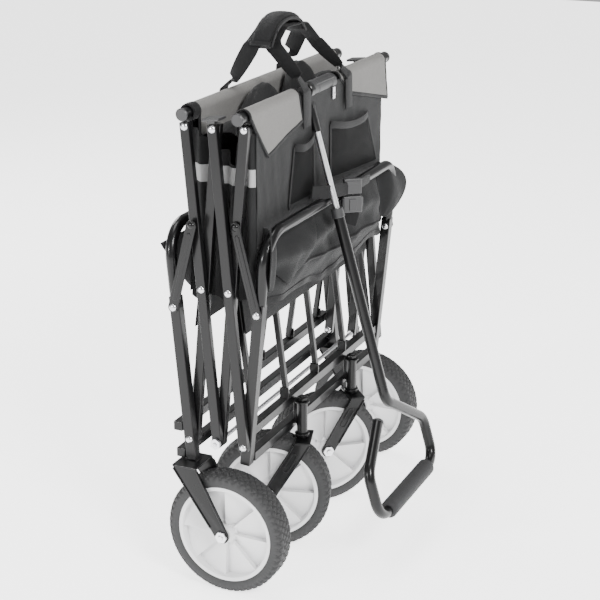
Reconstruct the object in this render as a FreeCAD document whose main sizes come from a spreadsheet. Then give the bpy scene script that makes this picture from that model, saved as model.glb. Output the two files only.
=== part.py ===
"""Folding four-wheel fabric wagon, standing folded on its wheels, as a parametric FreeCAD document.

Frame: +Z up from the ground, X across the wagon, the front (handle, casters, pockets) faces -Y.
Each side has two scissors. Closed, their bars stand almost upright; open, they lie at fold_open_angle.
"""
import FreeCAD
import Part

import math
import os
import re

from FreeCAD import Placement, Rotation, Vector

SIZES = [
    # scissors
    ("bar_length", 451, "scissor bar, first pivot to last"),
    ("bar_deep", 14, "scissor bar, front to back"),
    ("bar_thick", 10, "scissor bar, across the wagon"),
    ("bar_tail", 7, "bar beyond its end pivots"),
    ("bar_corner", 3.5, "rounding of the bar's ends"),
    ("tube_wall", 1.2, "wall of every steel tube"),
    ("outer_bar_x", 251, "middle of the outer bars from the wagon's middle"),
    ("layer_gap", 1.5, "free space between bars side by side"),
    ("fold_half_depth", 41, "half of the closed depth between the corner pivots"),
    ("fold_open_angle", 52, "bar's lean from vertical when open, degrees"),
    ("rivet_radius", 3, "pivot rivet shank"),
    ("rivet_head_radius", 5.2, "pivot rivet head"),
    ("rivet_head_high", 2.2, "pivot rivet head"),
    ("pin_clearance", 0.05, "radial play of a pin in the hole it turns in"),
    ("open_pivot_play", 0.6, "radial play at the pivot that closes a loop"),
    # end frames
    ("post_size", 15, "square post"),
    ("post_lean", 5.4, "outward lean of a post, degrees"),
    ("link_pin_up_post", 197, "corner pivot to link pin along the post"),
    ("post_head", 14, "post beyond the link pin"),
    ("bow_radius", 8, "bow tube"),
    ("bow_bend", 45, "bow's corner bend at the tube's middle"),
    ("cross_size", 14, "square cross tube"),
    # links
    ("link_seat", 0.295, "place of the link's upper end along its bar, from the top"),
    ("link_wide", 15, "stamped link"),
    ("link_thick", 3.5, "stamped link"),
    # rails
    ("rail_radius", 8, "top rail tube"),
    ("rail_above_pivot", 17, "rail's middle above the bars' top pivots"),
    ("rail_tab_thick", 3, "rail's tab for the top pivot"),
    ("plug_radius", 8.8, "rail end plug's cap"),
    ("plug_thick", 3, "rail end plug's cap"),
    # floor bars
    ("floor_bar_size", 8, "square floor bar"),
    ("floor_pin_radius", 2.5, "floor bar's foot pin"),
    ("floor_pin_up", 15, "foot pin above the cross tube's middle"),
    ("ear_thick", 3, "floor hinge ear"),
    # wheels
    ("wheel_radius", 90, "tyre, outside"),
    ("wheel_width", 38, "tyre, across"),
    ("rim_radius", 72, "hub's rim, outside"),
    ("rim_thick", 4, "hub's rim"),
    ("tyre_round", 7, "rounding of the tyre's shoulders"),
    ("boss_radius", 12, "hub's boss"),
    ("axle_radius", 5, "axle bolt"),
    ("bolt_head_high", 3.5, "axle bolt's head and nut"),
    ("wheel_side_gap", 3, "wheel to fork arm"),
    ("fork_thick", 3.5, "fork's sheet"),
    ("rear_axle_y", -20, "rear axle, along Y"),
    ("caster_forward", 18.5, "king pin in front of the front corner pivots"),
    ("caster_trail", 46, "front axle behind its king pin"),
    ("left_swivel", 18, "left caster's stance, degrees from straight"),
    ("right_swivel", 42, "right caster's stance, degrees from straight"),
    ("king_play", 0.25, "radial play of the king pin in its sleeve"),
    ("king_radius", 5, "king pin"),
    ("sleeve_radius", 8, "caster sleeve, outside"),
    ("flange_radius", 11, "caster sleeve's end flanges"),
    # handle
    ("handle_x", -42, "handle tube, along X"),
    ("handle_lean", 16, "handle's forward lean when closed, degrees"),
    ("collar_radius", 12, "collar round the rail"),
    ("collar_wide", 12, "collar along the rail"),
    ("rod_radius", 4.6, "inner rod"),
    ("rod_end", 400, "inner rod's lower end from the rail's middle"),
    ("outer_tube_radius", 8, "outer tube"),
    ("outer_tube_top", 176, "outer tube's top from the rail's middle"),
    ("loop_neck", 470, "start of the loop from the rail's middle"),
    ("loop_shoulder", 541, "loop's shoulders from the rail's middle"),
    ("loop_bar", 610, "loop's crossbar from the rail's middle"),
    ("loop_half_wide", 113, "half width of the loop"),
    ("loop_end_gap", 44, "loop's free end from the tube's middle"),
    ("loop_bend", 26, "bends of the loop"),
    ("grip_radius", 13, "foam grip"),
    ("grip_length", 165, "foam grip"),
    ("pivot_sleeve_radius", 11.5, "plastic sleeve on the rail"),
    ("pivot_sleeve_length", 78, "plastic sleeve on the rail"),
    ("run_clearance", 0.3, "free space round a sleeve that turns on the rail"),
    # fabric
    ("fabric_thick", 2.5, "a fabric panel"),
    ("pocket_deep", 7, "mesh pocket, front to back"),
    ("pocket_wall", 1.5, "mesh pocket's sheet"),
    ("pocket_seam", 3, "mesh pocket's sewn border"),
    ("web_wide", 25, "carry webbing"),
    ("web_thick", 2, "carry webbing"),
    ("wrap_long", 150, "padded wrap round both carry loops"),
    ("wrap_deep", 26, "padded wrap, front to back"),
    ("wrap_high", 24, "padded wrap"),
    ("wrap_corner", 8, "rounding of the wrap"),
    ("buckle_wide", 28, "side-release buckle"),
    ("buckle_deep", 9, "side-release buckle"),
    ("buckle_high", 38, "side-release buckle"),
    ("cap_deep", 25, "mid cap's flange, front to back"),
    ("cap_high", 3.2, "mid cap's flange"),
]

# sizes that follow from others, as the sheet's own formulas
DERIVED = [
    ("pivot_height", "2 * wheel_radius + 39", "corner pivots above the ground"),
    ("post_bottom", "2 * wheel_radius + 8", "underside of a post, top of the rear fork plate"),
    ("bow_height", "pivot_height + 306", "middle of the bow's top above the ground"),
    ("upper_cross_height", "pivot_height + 18", "middle of the upper cross tubes"),
    ("lower_cross_height", "pivot_height - 22", "middle of the lower cross tubes"),
    ("front_hem_height", "pivot_height + 195", "front panel's hem above the ground"),
    ("rear_hem_height", "pivot_height + 213", "rear panel's hem above the ground"),
    ("crown_height", "2 * wheel_radius - 4", "top of the caster fork"),
    ("rail_half_length", "outer_bar_x + bar_thick / 2 + 4", "half of a top rail"),
    ("floor_bar_length", "0.788 * bar_length + 14.612", "floor bar, foot pin to apex"),
    ("floor_bar_pitch", "(outer_bar_x - 35) / 2", "spacing of the floor bars across the wagon"),
    ("rear_wheel_x", "outer_bar_x + 6.5", "rear wheel's middle from the wagon's middle"),
    ("caster_x", "0.3785 * outer_bar_x", "king pin from the wagon's middle"),
    ("end_panel_half", "outer_bar_x - 23", "half width of the end panels"),
    ("floor_panel_half", "2 * floor_bar_pitch + 6", "half width of the floor panels"),
]

doc = FreeCAD.newDocument("folding_wagon")
sheet = doc.addObject("Spreadsheet::Sheet", "Sizes")
formulas = [(alias, "=" + formula, meaning) for alias, formula, meaning in DERIVED]
for row, (alias, value, meaning) in enumerate(SIZES + formulas, start=1):
    sheet.set(f"A{row}", meaning)
    sheet.set(f"B{row}", str(value))
    sheet.setAlias(f"B{row}", alias)
doc.recompute()


class Values:
    """The sheet's cells as plain numbers."""

    def __getattr__(self, alias):
        return float(sheet.get(alias))


s = Values()
SIDES = (("left", -1), ("right", 1))
ENDS = (("rear", 1), ("front", -1))
UPRIGHT = Rotation()
ALONG_X = Rotation(Vector(0, 1, 0), 90)
ALONG_Y = Rotation(Vector(1, 0, 0), -90)
nodes = {}
floor_hinges = {}


# ---------------------------------------------------------------- building blocks
def bound(rule):
    """A size rule in the sheet's words, such as 'bar_length + 2 * bar_tail'."""
    return re.sub(r"[a-z][a-z_]*", lambda word: "Sizes." + word.group(), rule)


def box(name, length, width, height, centre, turn=UPRIGHT):
    solid = doc.addObject("Part::Box", name)
    for side, rule in (("Length", length), ("Width", width), ("Height", height)):
        solid.setExpression(side, bound(rule))
    solid.recompute()
    half = Vector(solid.Length.Value, solid.Width.Value, solid.Height.Value) / 2
    solid.Placement = Placement(centre - turn.multVec(half), turn)
    return solid


def cylinder(name, radius, height, centre, turn=UPRIGHT):
    solid = doc.addObject("Part::Cylinder", name)
    solid.setExpression("Radius", bound(radius))
    solid.setExpression("Height", bound(height))
    solid.recompute()
    half = Vector(0, 0, solid.Height.Value / 2)
    solid.Placement = Placement(centre - turn.multVec(half), turn)
    return solid


def hexagon(name, circumradius, height, centre, turn=UPRIGHT):
    solid = doc.addObject("Part::Prism", name)
    solid.Polygon = 6
    solid.setExpression("Circumradius", bound(circumradius))
    solid.setExpression("Height", bound(height))
    solid.recompute()
    half = Vector(0, 0, solid.Height.Value / 2)
    solid.Placement = Placement(centre - turn.multVec(half), turn)
    return solid


def fuse(name, shapes):
    joined = doc.addObject("Part::MultiFuse", name)
    joined.Shapes = shapes
    joined.Refine = True
    return joined


def cut(name, base, tools):
    made = doc.addObject("Part::Cut", name)
    made.Base = base
    made.Tool = tools[0] if len(tools) == 1 else fuse(name + "_tools", tools)
    return made


def group(name, solids):
    """Like pieces that share one node, as separate solids."""
    made = doc.addObject("Part::Compound", name)
    made.Links = solids
    return made


def node(name, shape):
    shape.Label = name
    nodes[name] = shape
    return shape


def tilt_of(foot, top):
    """Turn about X that leads +Z from foot to top, both (y, z)."""
    return Rotation(Vector(1, 0, 0), math.degrees(math.atan2(foot[0] - top[0], top[1] - foot[1])))


def bent_tube(name, points, radius, bends):
    """A solid of a round tube along points, with an arc of the given radius at each inner point."""
    solids = []
    start = points[0]
    for index, bend in enumerate(bends, start=1):
        before = (points[index] - points[index - 1]).normalize()
        after = (points[index + 1] - points[index]).normalize()
        turn = before.getAngle(after)
        reach = bend * math.tan(turn / 2)
        arc_start = points[index] - before * reach
        solids.append(straight(name, start, arc_start, radius))
        inward = (after - before * before.dot(after)).normalize()
        ring = doc.addObject("Part::Torus", name + "_bend")
        ring.Radius1 = bend
        ring.setExpression("Radius2", bound(radius))
        ring.Angle3 = math.degrees(turn)
        centre = arc_start + inward * bend
        ring.Placement = Placement(centre, Rotation(inward * -1, before, Vector(), "XYZ"))
        solids.append(ring)
        start = points[index] + after * reach
    solids.append(straight(name, start, points[-1], radius))
    return fuse(name, solids)


def straight(name, start, end, radius):
    solid = doc.addObject("Part::Cylinder", name + "_run")
    solid.setExpression("Radius", bound(radius))
    solid.Height = (end - start).Length
    solid.Placement = Placement(start, Rotation(Vector(0, 0, 1), end - start))
    return solid


def hollow_bent_tube(name, points, radius, bends):
    outside = bent_tube(name + "_outside", points, radius, bends)
    inside = bent_tube(name + "_inside", points, radius + " - tube_wall", bends)
    return cut(name, outside, [inside])


def tapered_plate(name, top_front, top_rear, tip, tip_radius, thick, middle_x):
    """Sheet in the YZ plane: a straight top edge that narrows to a round tip; points are (y, z)."""
    body = doc.addObject("PartDesign::Body", name)
    plane = next(part for part in body.Origin.OriginFeatures if part.Role == "YZ_Plane")
    sketch = body.newObject("Sketcher::SketchObject", name + "_outline")
    sketch.AttachmentSupport = [(plane, "")]
    sketch.MapMode = "FlatFace"
    centre = Vector(tip[0], tip[1], 0)
    corners = [Vector(top_front[0], top_front[1], 0), Vector(top_rear[0], top_rear[1], 0)]
    touches = []
    for corner, hand in zip(corners, (-1, 1)):
        reach = corner - centre
        swing = math.acos(tip_radius / reach.Length) * hand
        aim = math.atan2(reach.y, reach.x) - swing
        touches.append(centre + Vector(math.cos(aim), math.sin(aim), 0) * tip_radius)
    mouth = (touches[0] + touches[1]) / 2 - (corners[0] + corners[1]) / 2
    lowest = centre + mouth.normalize() * tip_radius
    sketch.addGeometry([
        Part.LineSegment(corners[0], corners[1]),
        Part.LineSegment(corners[1], touches[1]),
        Part.Arc(touches[1], lowest, touches[0]),
        Part.LineSegment(touches[0], corners[0]),
    ], False)
    pad = body.newObject("PartDesign::Pad", name + "_pad")
    pad.Profile = sketch
    pad.setExpression("Length", bound(thick))
    pad.Midplane = True
    body.Placement = Placement(Vector(middle_x, 0, 0), UPRIGHT)
    return body


# ---------------------------------------------------------------- places worked out from the sizes
fold_closed_angle = math.degrees(math.asin(s.fold_half_depth / s.bar_length))
fold_travel = s.fold_open_angle - fold_closed_angle
top_pivot_height = s.pivot_height + s.bar_length * math.cos(math.radians(fold_closed_angle))
rail_height = top_pivot_height + s.rail_above_pivot
middle_height = (s.pivot_height + top_pivot_height) / 2
layer_step = s.bar_thick + s.layer_gap
inner_bar_x = s.outer_bar_x - layer_step
outer_face_x = s.outer_bar_x + s.bar_thick / 2
inner_face_x = inner_bar_x - s.bar_thick / 2
rear_post_x = s.outer_bar_x - s.bar_thick / 2 + s.post_size / 2
front_post_x = inner_bar_x + s.bar_thick / 2 + s.layer_gap / 3 - s.post_size / 2
post_x = {"rear": rear_post_x, "front": front_post_x}
lean = math.radians(s.post_lean)
tail_clearance = 0.5
seat_gap = 0.3


def post_point(end_sign, along):
    """(y, z) on a post's middle line, measured up from the corner pivot."""
    y = s.fold_half_depth + along * math.sin(lean)
    return end_sign * y, s.pivot_height + along * math.cos(lean)


def cross_tube_y(end, height):
    """Rear cross tubes lie on the back of the leaning posts; the front ones end between the posts."""
    if end == "front":
        return -s.fold_half_depth
    post_back = s.post_size / 2 / math.cos(lean)
    outward = (height + s.cross_size / 2 - s.pivot_height) * math.tan(lean)
    return s.fold_half_depth + post_back + outward + seat_gap / 2 + s.cross_size / 2


cross_y = {end: cross_tube_y(end, s.upper_cross_height) for end in ("rear", "front")}
floor_pin_height = s.upper_cross_height + s.floor_pin_up
floor_half_span = (cross_y["rear"] - cross_y["front"]) / 2
floor_closed_angle = math.degrees(math.asin(floor_half_span / s.floor_bar_length))
open_spread = 2 * s.bar_length * (math.sin(math.radians(s.fold_open_angle))
                                  - math.sin(math.radians(fold_closed_angle)))
floor_open_angle = math.degrees(math.asin((floor_half_span + open_spread / 2) / s.floor_bar_length))
caster_y = -s.fold_half_depth - s.caster_forward
rail_axis = {"rear": s.fold_half_depth, "front": -s.fold_half_depth}
panel_back = s.fold_half_depth + s.rail_radius + seat_gap


def link_inner_face(end):
    """Inner face of the end's links, clear of the post and of the bar beside them."""
    bar_out = outer_face_x if end == "rear" else inner_bar_x + s.bar_thick / 2
    return max(post_x[end] + s.bow_radius, bar_out) + tail_clearance


def link_pin_place(end, end_sign):
    link_out = link_inner_face(end) + s.link_thick
    return (post_x[end] - s.post_size / 2, link_out, *post_point(end_sign, s.link_pin_up_post))


def rivet(name, side_sign, inner_x, outer_x, y, z):
    """A rivet along X whose heads lie on the faces at inner_x and outer_x."""
    shank = cylinder(name, "rivet_radius", "bar_thick", Vector(), ALONG_X)
    shank.setExpression("Height", None)
    shank.Height = outer_x - inner_x
    shank.Placement = Placement(Vector(side_sign * inner_x, y, z), Rotation(Vector(0, 1, 0), 90 * side_sign))
    heads = []
    for face_x, way in ((inner_x, -1), (outer_x, 1)):
        middle = side_sign * (face_x + way * s.rivet_head_high / 2)
        heads.append(cylinder(name + "_head", "rivet_head_radius", "rivet_head_high",
                              Vector(middle, y, z), ALONG_X))
    return fuse(name, [shank] + heads)


# ---------------------------------------------------------------- scissor bars
def edges_along_x(solid, least):
    """Numbers of the edges that run further than least along X."""
    return [index for index, edge in enumerate(solid.Shape.Edges, start=1)
            if abs((edge.Vertexes[-1].Point - edge.Vertexes[0].Point).x) > least]


def scissor_bar(name, side_sign, bar_x, foot, top, foot_play):
    turn = tilt_of(foot, top)
    middle = Vector(side_sign * bar_x, (foot[0] + top[0]) / 2, (foot[1] + top[1]) / 2)
    outside = box(name + "_outside", "bar_thick", "bar_deep", "bar_length + 2 * bar_tail", middle, turn)
    ends = doc.addObject("Part::Fillet", name + "_ends")
    ends.Base = outside
    ends.Edges = [(index, s.bar_corner, s.bar_corner) for index in edges_along_x(outside, s.bar_thick / 2)]
    inside = box(name + "_inside", "bar_thick - 2 * tube_wall", "bar_deep - 2 * tube_wall",
                 "bar_length + 2 * bar_tail - 2 * tube_wall", middle, turn)
    holes = []
    for (y, z), play in ((foot, foot_play), ((middle.y, middle.z), "pin_clearance"), (top, "pin_clearance")):
        holes.append(cylinder(name + "_hole", "rivet_radius + " + play, "2 * bar_thick",
                              Vector(middle.x, y, z), ALONG_X))
    return cut(name, ends, [inside] + holes)


def make_bars():
    mid_top = (0, top_pivot_height)
    mid_foot = (0, s.pivot_height)
    rear_top, rear_foot = (s.fold_half_depth, top_pivot_height), (s.fold_half_depth, s.pivot_height)
    front_top, front_foot = (-s.fold_half_depth, top_pivot_height), (-s.fold_half_depth, s.pivot_height)
    places = {
        "rear_inner_bars": (inner_bar_x, rear_foot, mid_top, "pin_clearance"),
        "rear_outer_bars": (s.outer_bar_x, mid_foot, rear_top, "pin_clearance"),
        "front_outer_bars": (s.outer_bar_x, front_foot, mid_top, "pin_clearance"),
        "front_inner_bars": (inner_bar_x, mid_foot, front_top, "open_pivot_play"),
    }
    for name, (bar_x, foot, top, foot_play) in places.items():
        bars = [scissor_bar(f"{name}_{side}", sign, bar_x, foot, top, foot_play) for side, sign in SIDES]
        node(name, group(name, bars))


def make_rivets():
    outer_in = s.outer_bar_x - s.bar_thick / 2
    post_out = rear_post_x + s.post_size / 2
    front_post_in = front_post_x - s.post_size / 2
    rear_tab_in = outer_in - tail_clearance - s.rail_tab_thick
    front_tab_in = inner_face_x - tail_clearance - s.rail_tab_thick
    half = s.fold_half_depth
    places = {
        "rear_frame_rivets": [(inner_face_x, post_out, half, s.pivot_height), link_pin_place("rear", 1)],
        "rear_inner_rivets": [(inner_face_x, outer_face_x, half / 2, middle_height),
                              (inner_face_x, outer_face_x, 0, top_pivot_height)],
        "rear_top_rivets": [(rear_tab_in, outer_face_x, half, top_pivot_height)],
        "front_outer_rivets": [(inner_face_x, outer_face_x, -half / 2, middle_height),
                               (front_post_in, outer_face_x, -half, s.pivot_height)],
        "front_frame_rivets": [link_pin_place("front", -1)],
        "front_top_rivets": [(front_tab_in, inner_bar_x + s.bar_thick / 2, -half, top_pivot_height)],
    }
    for name, spots in places.items():
        node(name, group(name, [rivet(name, sign, *spot) for spot in spots for side, sign in SIDES]))


def make_lower_pivot_rod():
    """Rod across the wagon through the bars' lower middle pivots, with a hexagon head at each end."""
    rod = cylinder("lower_pivot_rod_shank", "rivet_radius", "2 * outer_bar_x + bar_thick",
                   Vector(0, 0, s.pivot_height), ALONG_X)
    heads = []
    for side, sign in SIDES:
        head = hexagon("lower_pivot_rod_head", "rivet_head_radius + rivet_radius", "rivet_head_high * 2",
                       Vector(sign * (outer_face_x + s.rivet_head_high), 0, s.pivot_height), ALONG_X)
        spacer_x = inner_face_x - seat_gap - s.rivet_head_high / 2
        spacer = cylinder("lower_pivot_rod_spacer", "rivet_head_radius", "rivet_head_high",
                          Vector(sign * spacer_x, 0, s.pivot_height), ALONG_X)
        heads += [head, spacer]
    node("lower_pivot_rod", fuse("lower_pivot_rod", [rod] + heads))


def make_mid_caps():
    """Plastic T caps on the outer bars at the middle top pivots; the open inner bars pass below them."""
    flange_low = s.bar_tail + 3.8
    stem_low = s.bar_tail + seat_gap / 2
    turn = tilt_of((-s.fold_half_depth, s.pivot_height), (0, top_pivot_height))
    caps = []
    for side, sign in SIDES:
        def above_pivot(x, high):
            return Vector(sign * x, 0, top_pivot_height) + turn.multVec(Vector(0, 0, high))
        flange = box("cap_flange", "2 * bar_thick + 4", "cap_deep", "cap_high",
                     above_pivot(s.outer_bar_x - s.bar_thick / 2, flange_low + s.cap_high / 2), turn)
        stem_high = flange_low - stem_low + s.cap_high / 2
        stem = box("cap_stem", "bar_thick", "bar_deep - 4", "cap_high", Vector(), turn)
        stem.setExpression("Height", None)
        stem.Height = stem_high
        half = Vector(s.bar_thick, s.bar_deep - 4, stem_high) / 2
        stem.Placement.Base = above_pivot(s.outer_bar_x, stem_low + stem_high / 2) - turn.multVec(half)
        caps.append(fuse(f"mid_cap_{side}", [flange, stem]))
    node("mid_caps", group("mid_caps", caps))


# ---------------------------------------------------------------- end frames
def make_post(end, end_sign, side, sign):
    name = f"{end}_post_{side}"
    lowest = s.post_size / 2 * math.sin(lean) + 0.05
    bottom = (s.post_bottom + lowest - s.pivot_height) / math.cos(lean)
    top = s.link_pin_up_post + s.post_head
    foot, head = post_point(end_sign, bottom), post_point(end_sign, top)
    turn = tilt_of(foot, head)
    middle = Vector(sign * post_x[end], (foot[0] + head[0]) / 2, (foot[1] + head[1]) / 2)
    outside = box(name + "_outside", "post_size", "post_size", "post_head", middle, turn)
    inside = box(name + "_inside", "post_size - 2 * tube_wall", "post_size - 2 * tube_wall",
                 "post_head", middle, turn)
    for part, shorter in ((outside, 0), (inside, s.tube_wall)):
        part.setExpression("Height", None)
        part.Height = top - bottom - 2 * shorter
        half = Vector(part.Length.Value, part.Width.Value, part.Height.Value) / 2
        part.Placement = Placement(middle - turn.multVec(half), turn)
    holes = [cylinder(name + "_hole", "rivet_radius + pin_clearance", "2 * post_size",
                      Vector(middle.x, *post_point(end_sign, along)), ALONG_X)
             for along in (0, s.link_pin_up_post)]
    return cut(name, outside, [inside] + holes)


def make_bow(end, end_sign):
    """Round tube bow that stands on the posts and bends over at the top."""
    x = post_x[end]
    leg_start = s.link_pin_up_post + s.post_head
    top_along = (s.bow_height - s.pivot_height) / math.cos(lean)
    corners = [(-x, leg_start), (-x, top_along), (x, top_along), (x, leg_start)]
    points = [Vector(cx, *post_point(end_sign, along)) for cx, along in corners]
    node(f"{end}_bow", hollow_bent_tube(f"{end}_bow", points, "bow_radius", [s.bow_bend] * 2))


def make_cross_tubes(end):
    """Cross tubes of one end frame, with the floor hinges that stand on the upper one."""
    pieces = []
    if end == "rear":
        half_length = rear_post_x + s.post_size / 2
    else:
        half_length = front_post_x - s.post_size / 2
    for level, height in (("upper", s.upper_cross_height), ("lower", s.lower_cross_height)):
        name = f"{end}_{level}_cross_tube"
        middle = Vector(0, cross_tube_y(end, height), height)
        outside = box(name + "_outside", "cross_size", "cross_size", "cross_size", middle)
        inside = box(name + "_inside", "cross_size", "cross_size - 2 * tube_wall",
                     "cross_size - 2 * tube_wall", middle)
        for part in (outside, inside):
            part.setExpression("Length", None)
            part.Length = 2 * half_length
            part.Placement.Base.x = -half_length
        pieces.append(cut(name, outside, [inside]))
    node(f"{end}_cross_tubes", group(f"{end}_cross_tubes", pieces + floor_hinges[end]))


def make_links():
    """Stamped links from a pin on the post to a seat beside the bar, whose rivet stops short of the bar."""
    for end, end_sign in ENDS:
        pin = post_point(end_sign, s.link_pin_up_post)
        seat = (end_sign * s.fold_half_depth * (1 - s.link_seat),
                top_pivot_height - s.link_seat * (top_pivot_height - s.pivot_height))
        bar_out = outer_face_x if end == "rear" else inner_bar_x + s.bar_thick / 2
        link_in = link_inner_face(end)
        link_x = link_in + s.link_thick / 2
        turn = tilt_of(pin, seat)
        links = []
        for side, sign in SIDES:
            name = f"{end}_link_{side}"
            length = math.hypot(seat[0] - pin[0], seat[1] - pin[1])
            middle = Vector(sign * link_x, (pin[0] + seat[0]) / 2, (pin[1] + seat[1]) / 2)
            strip = box(name + "_strip", "link_thick", "link_wide", "link_wide", middle, turn)
            strip.setExpression("Height", None)
            strip.Height = length
            strip.Placement.Base = middle - turn.multVec(Vector(s.link_thick, s.link_wide, length) / 2)
            ends = [cylinder(name + "_end", "link_wide / 2", "link_thick", Vector(middle.x, *spot), ALONG_X)
                    for spot in (pin, seat)]
            hole = cylinder(name + "_hole", "rivet_radius + pin_clearance", "4 * link_thick",
                            Vector(middle.x, *pin), ALONG_X)
            plate = cut(name + "_plate", fuse(name + "_sheet", [strip] + ends), [hole])
            stub_in = bar_out + tail_clearance
            stub_out = link_in + s.link_thick + s.rivet_head_high
            stub = cylinder(name + "_stub", "rivet_head_radius", "rivet_head_high", Vector(), ALONG_X)
            stub.setExpression("Height", None)
            stub.Height = stub_out - stub_in
            stub.Placement = Placement(Vector(sign * stub_in, *seat), Rotation(Vector(0, 1, 0), 90 * sign))
            links.append(fuse(name, [plate, stub]))
        node(f"{end}_links", group(f"{end}_links", links))


# ---------------------------------------------------------------- rails
def make_rails():
    for end, end_sign in ENDS:
        y = rail_axis[end]
        middle = Vector(0, y, rail_height)
        tube = cylinder(f"{end}_rail_tube", "rail_radius", "2 * rail_half_length", middle, ALONG_X)
        bore = cylinder(f"{end}_rail_bore", "rail_radius - tube_wall", "2 * rail_half_length", middle,
                        ALONG_X)
        face = outer_face_x - s.bar_thick if end == "rear" else inner_face_x
        tab_x = face - tail_clearance - s.rail_tab_thick / 2
        tab_low = top_pivot_height - s.bar_tail
        tab_high = rail_height - s.rail_radius + s.tube_wall / 2
        tabs = []
        holes = []
        for side, sign in SIDES:
            tab = box(f"{end}_tab", "rail_tab_thick", "bar_deep", "bar_deep", Vector())
            tab.setExpression("Height", None)
            tab.Height = tab_high - tab_low
            tab.Placement.Base = Vector(sign * tab_x - s.rail_tab_thick / 2, y - s.bar_deep / 2, tab_low)
            tabs.append(tab)
            holes.append(cylinder(f"{end}_tab_hole", "rivet_radius + pin_clearance", "3 * rail_tab_thick",
                                  Vector(sign * tab_x, y, top_pivot_height), ALONG_X))
        hollow = cut(f"{end}_rail_hollow", tube, [bore])
        drilled = cut(f"{end}_tabs_drilled", fuse(f"{end}_tabs", tabs), holes)
        node(f"{end}_rail", fuse(f"{end}_rail", [hollow, drilled]))
        plugs = []
        for side, sign in SIDES:
            cap = cylinder(f"{end}_plug_cap", "plug_radius", "plug_thick",
                           Vector(sign * (s.rail_half_length + s.plug_thick / 2), y, rail_height), ALONG_X)
            spigot = cylinder(f"{end}_plug_spigot", "rail_radius - tube_wall - pin_clearance",
                              "4 * plug_thick",
                              Vector(sign * (s.rail_half_length - 2 * s.plug_thick), y, rail_height), ALONG_X)
            plugs.append(fuse(f"{end}_plug_{side}", [cap, spigot]))
        node(f"{end}_rail_plugs", group(f"{end}_rail_plugs", plugs))


# ---------------------------------------------------------------- floor bars
def make_floor_bars():
    apex_y = (cross_y["rear"] + cross_y["front"]) / 2
    rise = math.sqrt(s.floor_bar_length ** 2 - floor_half_span ** 2)
    apex = (apex_y, floor_pin_height + rise)
    beside = s.floor_bar_size / 2 + tail_clearance
    foot_tail = 6
    for end, end_sign in ENDS:
        foot = (cross_y[end], floor_pin_height)
        turn = tilt_of(foot, apex)
        bars = []
        hinges = []
        for step in range(-2, 3):
            name = f"{end}_floor_bar_{step + 3}"
            x = step * s.floor_bar_pitch + end_sign * beside
            length = s.floor_bar_length + 2 * foot_tail
            middle = Vector(x, (foot[0] + apex[0]) / 2, (foot[1] + apex[1]) / 2)
            outside = box(name + "_outside", "floor_bar_size", "floor_bar_size", "floor_bar_size",
                          middle, turn)
            inside = box(name + "_inside", "floor_bar_size - 2 * tube_wall", "floor_bar_size - 2 * tube_wall",
                         "floor_bar_size", middle, turn)
            for part, shorter in ((outside, 0), (inside, 2 * s.tube_wall)):
                part.setExpression("Height", None)
                part.Height = length - shorter
                half = Vector(part.Length.Value, part.Width.Value, part.Height.Value) / 2
                part.Placement.Base = middle - turn.multVec(half)
            hole = cylinder(name + "_hole", "floor_pin_radius + pin_clearance", "2 * floor_bar_size",
                            Vector(x, *foot), ALONG_X)
            bars.append(cut(name, outside, [inside, hole]))
            hinges.append(floor_hinge(f"{end}_floor_hinge_{step + 3}", end_sign, x, foot))
        node(f"{end}_floor_bars", group(f"{end}_floor_bars", bars))
        floor_hinges[end] = hinges


def floor_hinge(name, end_sign, bar_x, foot):
    """Ear on the cross tube with the foot pin welded in it and a head beyond the bar."""
    half = s.floor_bar_size / 2
    ear_low = s.upper_cross_height + s.cross_size / 2
    ear = box(name + "_ear", "ear_thick", "cross_size", "cross_size", Vector())
    ear.setExpression("Height", None)
    ear.Height = foot[1] + s.cross_size / 2 - ear_low
    ear_x = bar_x + end_sign * (half + tail_clearance + s.ear_thick / 2)
    ear.Placement.Base = Vector(ear_x - s.ear_thick / 2, foot[0] - s.cross_size / 2, ear_low)
    reach = half + tail_clearance + s.ear_thick
    pin = cylinder(name + "_pin", "floor_pin_radius", "floor_bar_size", Vector(), ALONG_X)
    pin.setExpression("Height", None)
    pin.Height = reach + half + tail_clearance
    pin_start = bar_x - (half + tail_clearance if end_sign > 0 else reach)
    pin.Placement = Placement(Vector(pin_start, *foot), ALONG_X)
    head = cylinder(name + "_head", "floor_pin_radius + 1.5", "ear_thick / 2",
                    Vector(bar_x - end_sign * (half + tail_clearance + s.ear_thick / 4), *foot), ALONG_X)
    return fuse(name, [ear, pin, head])


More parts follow.
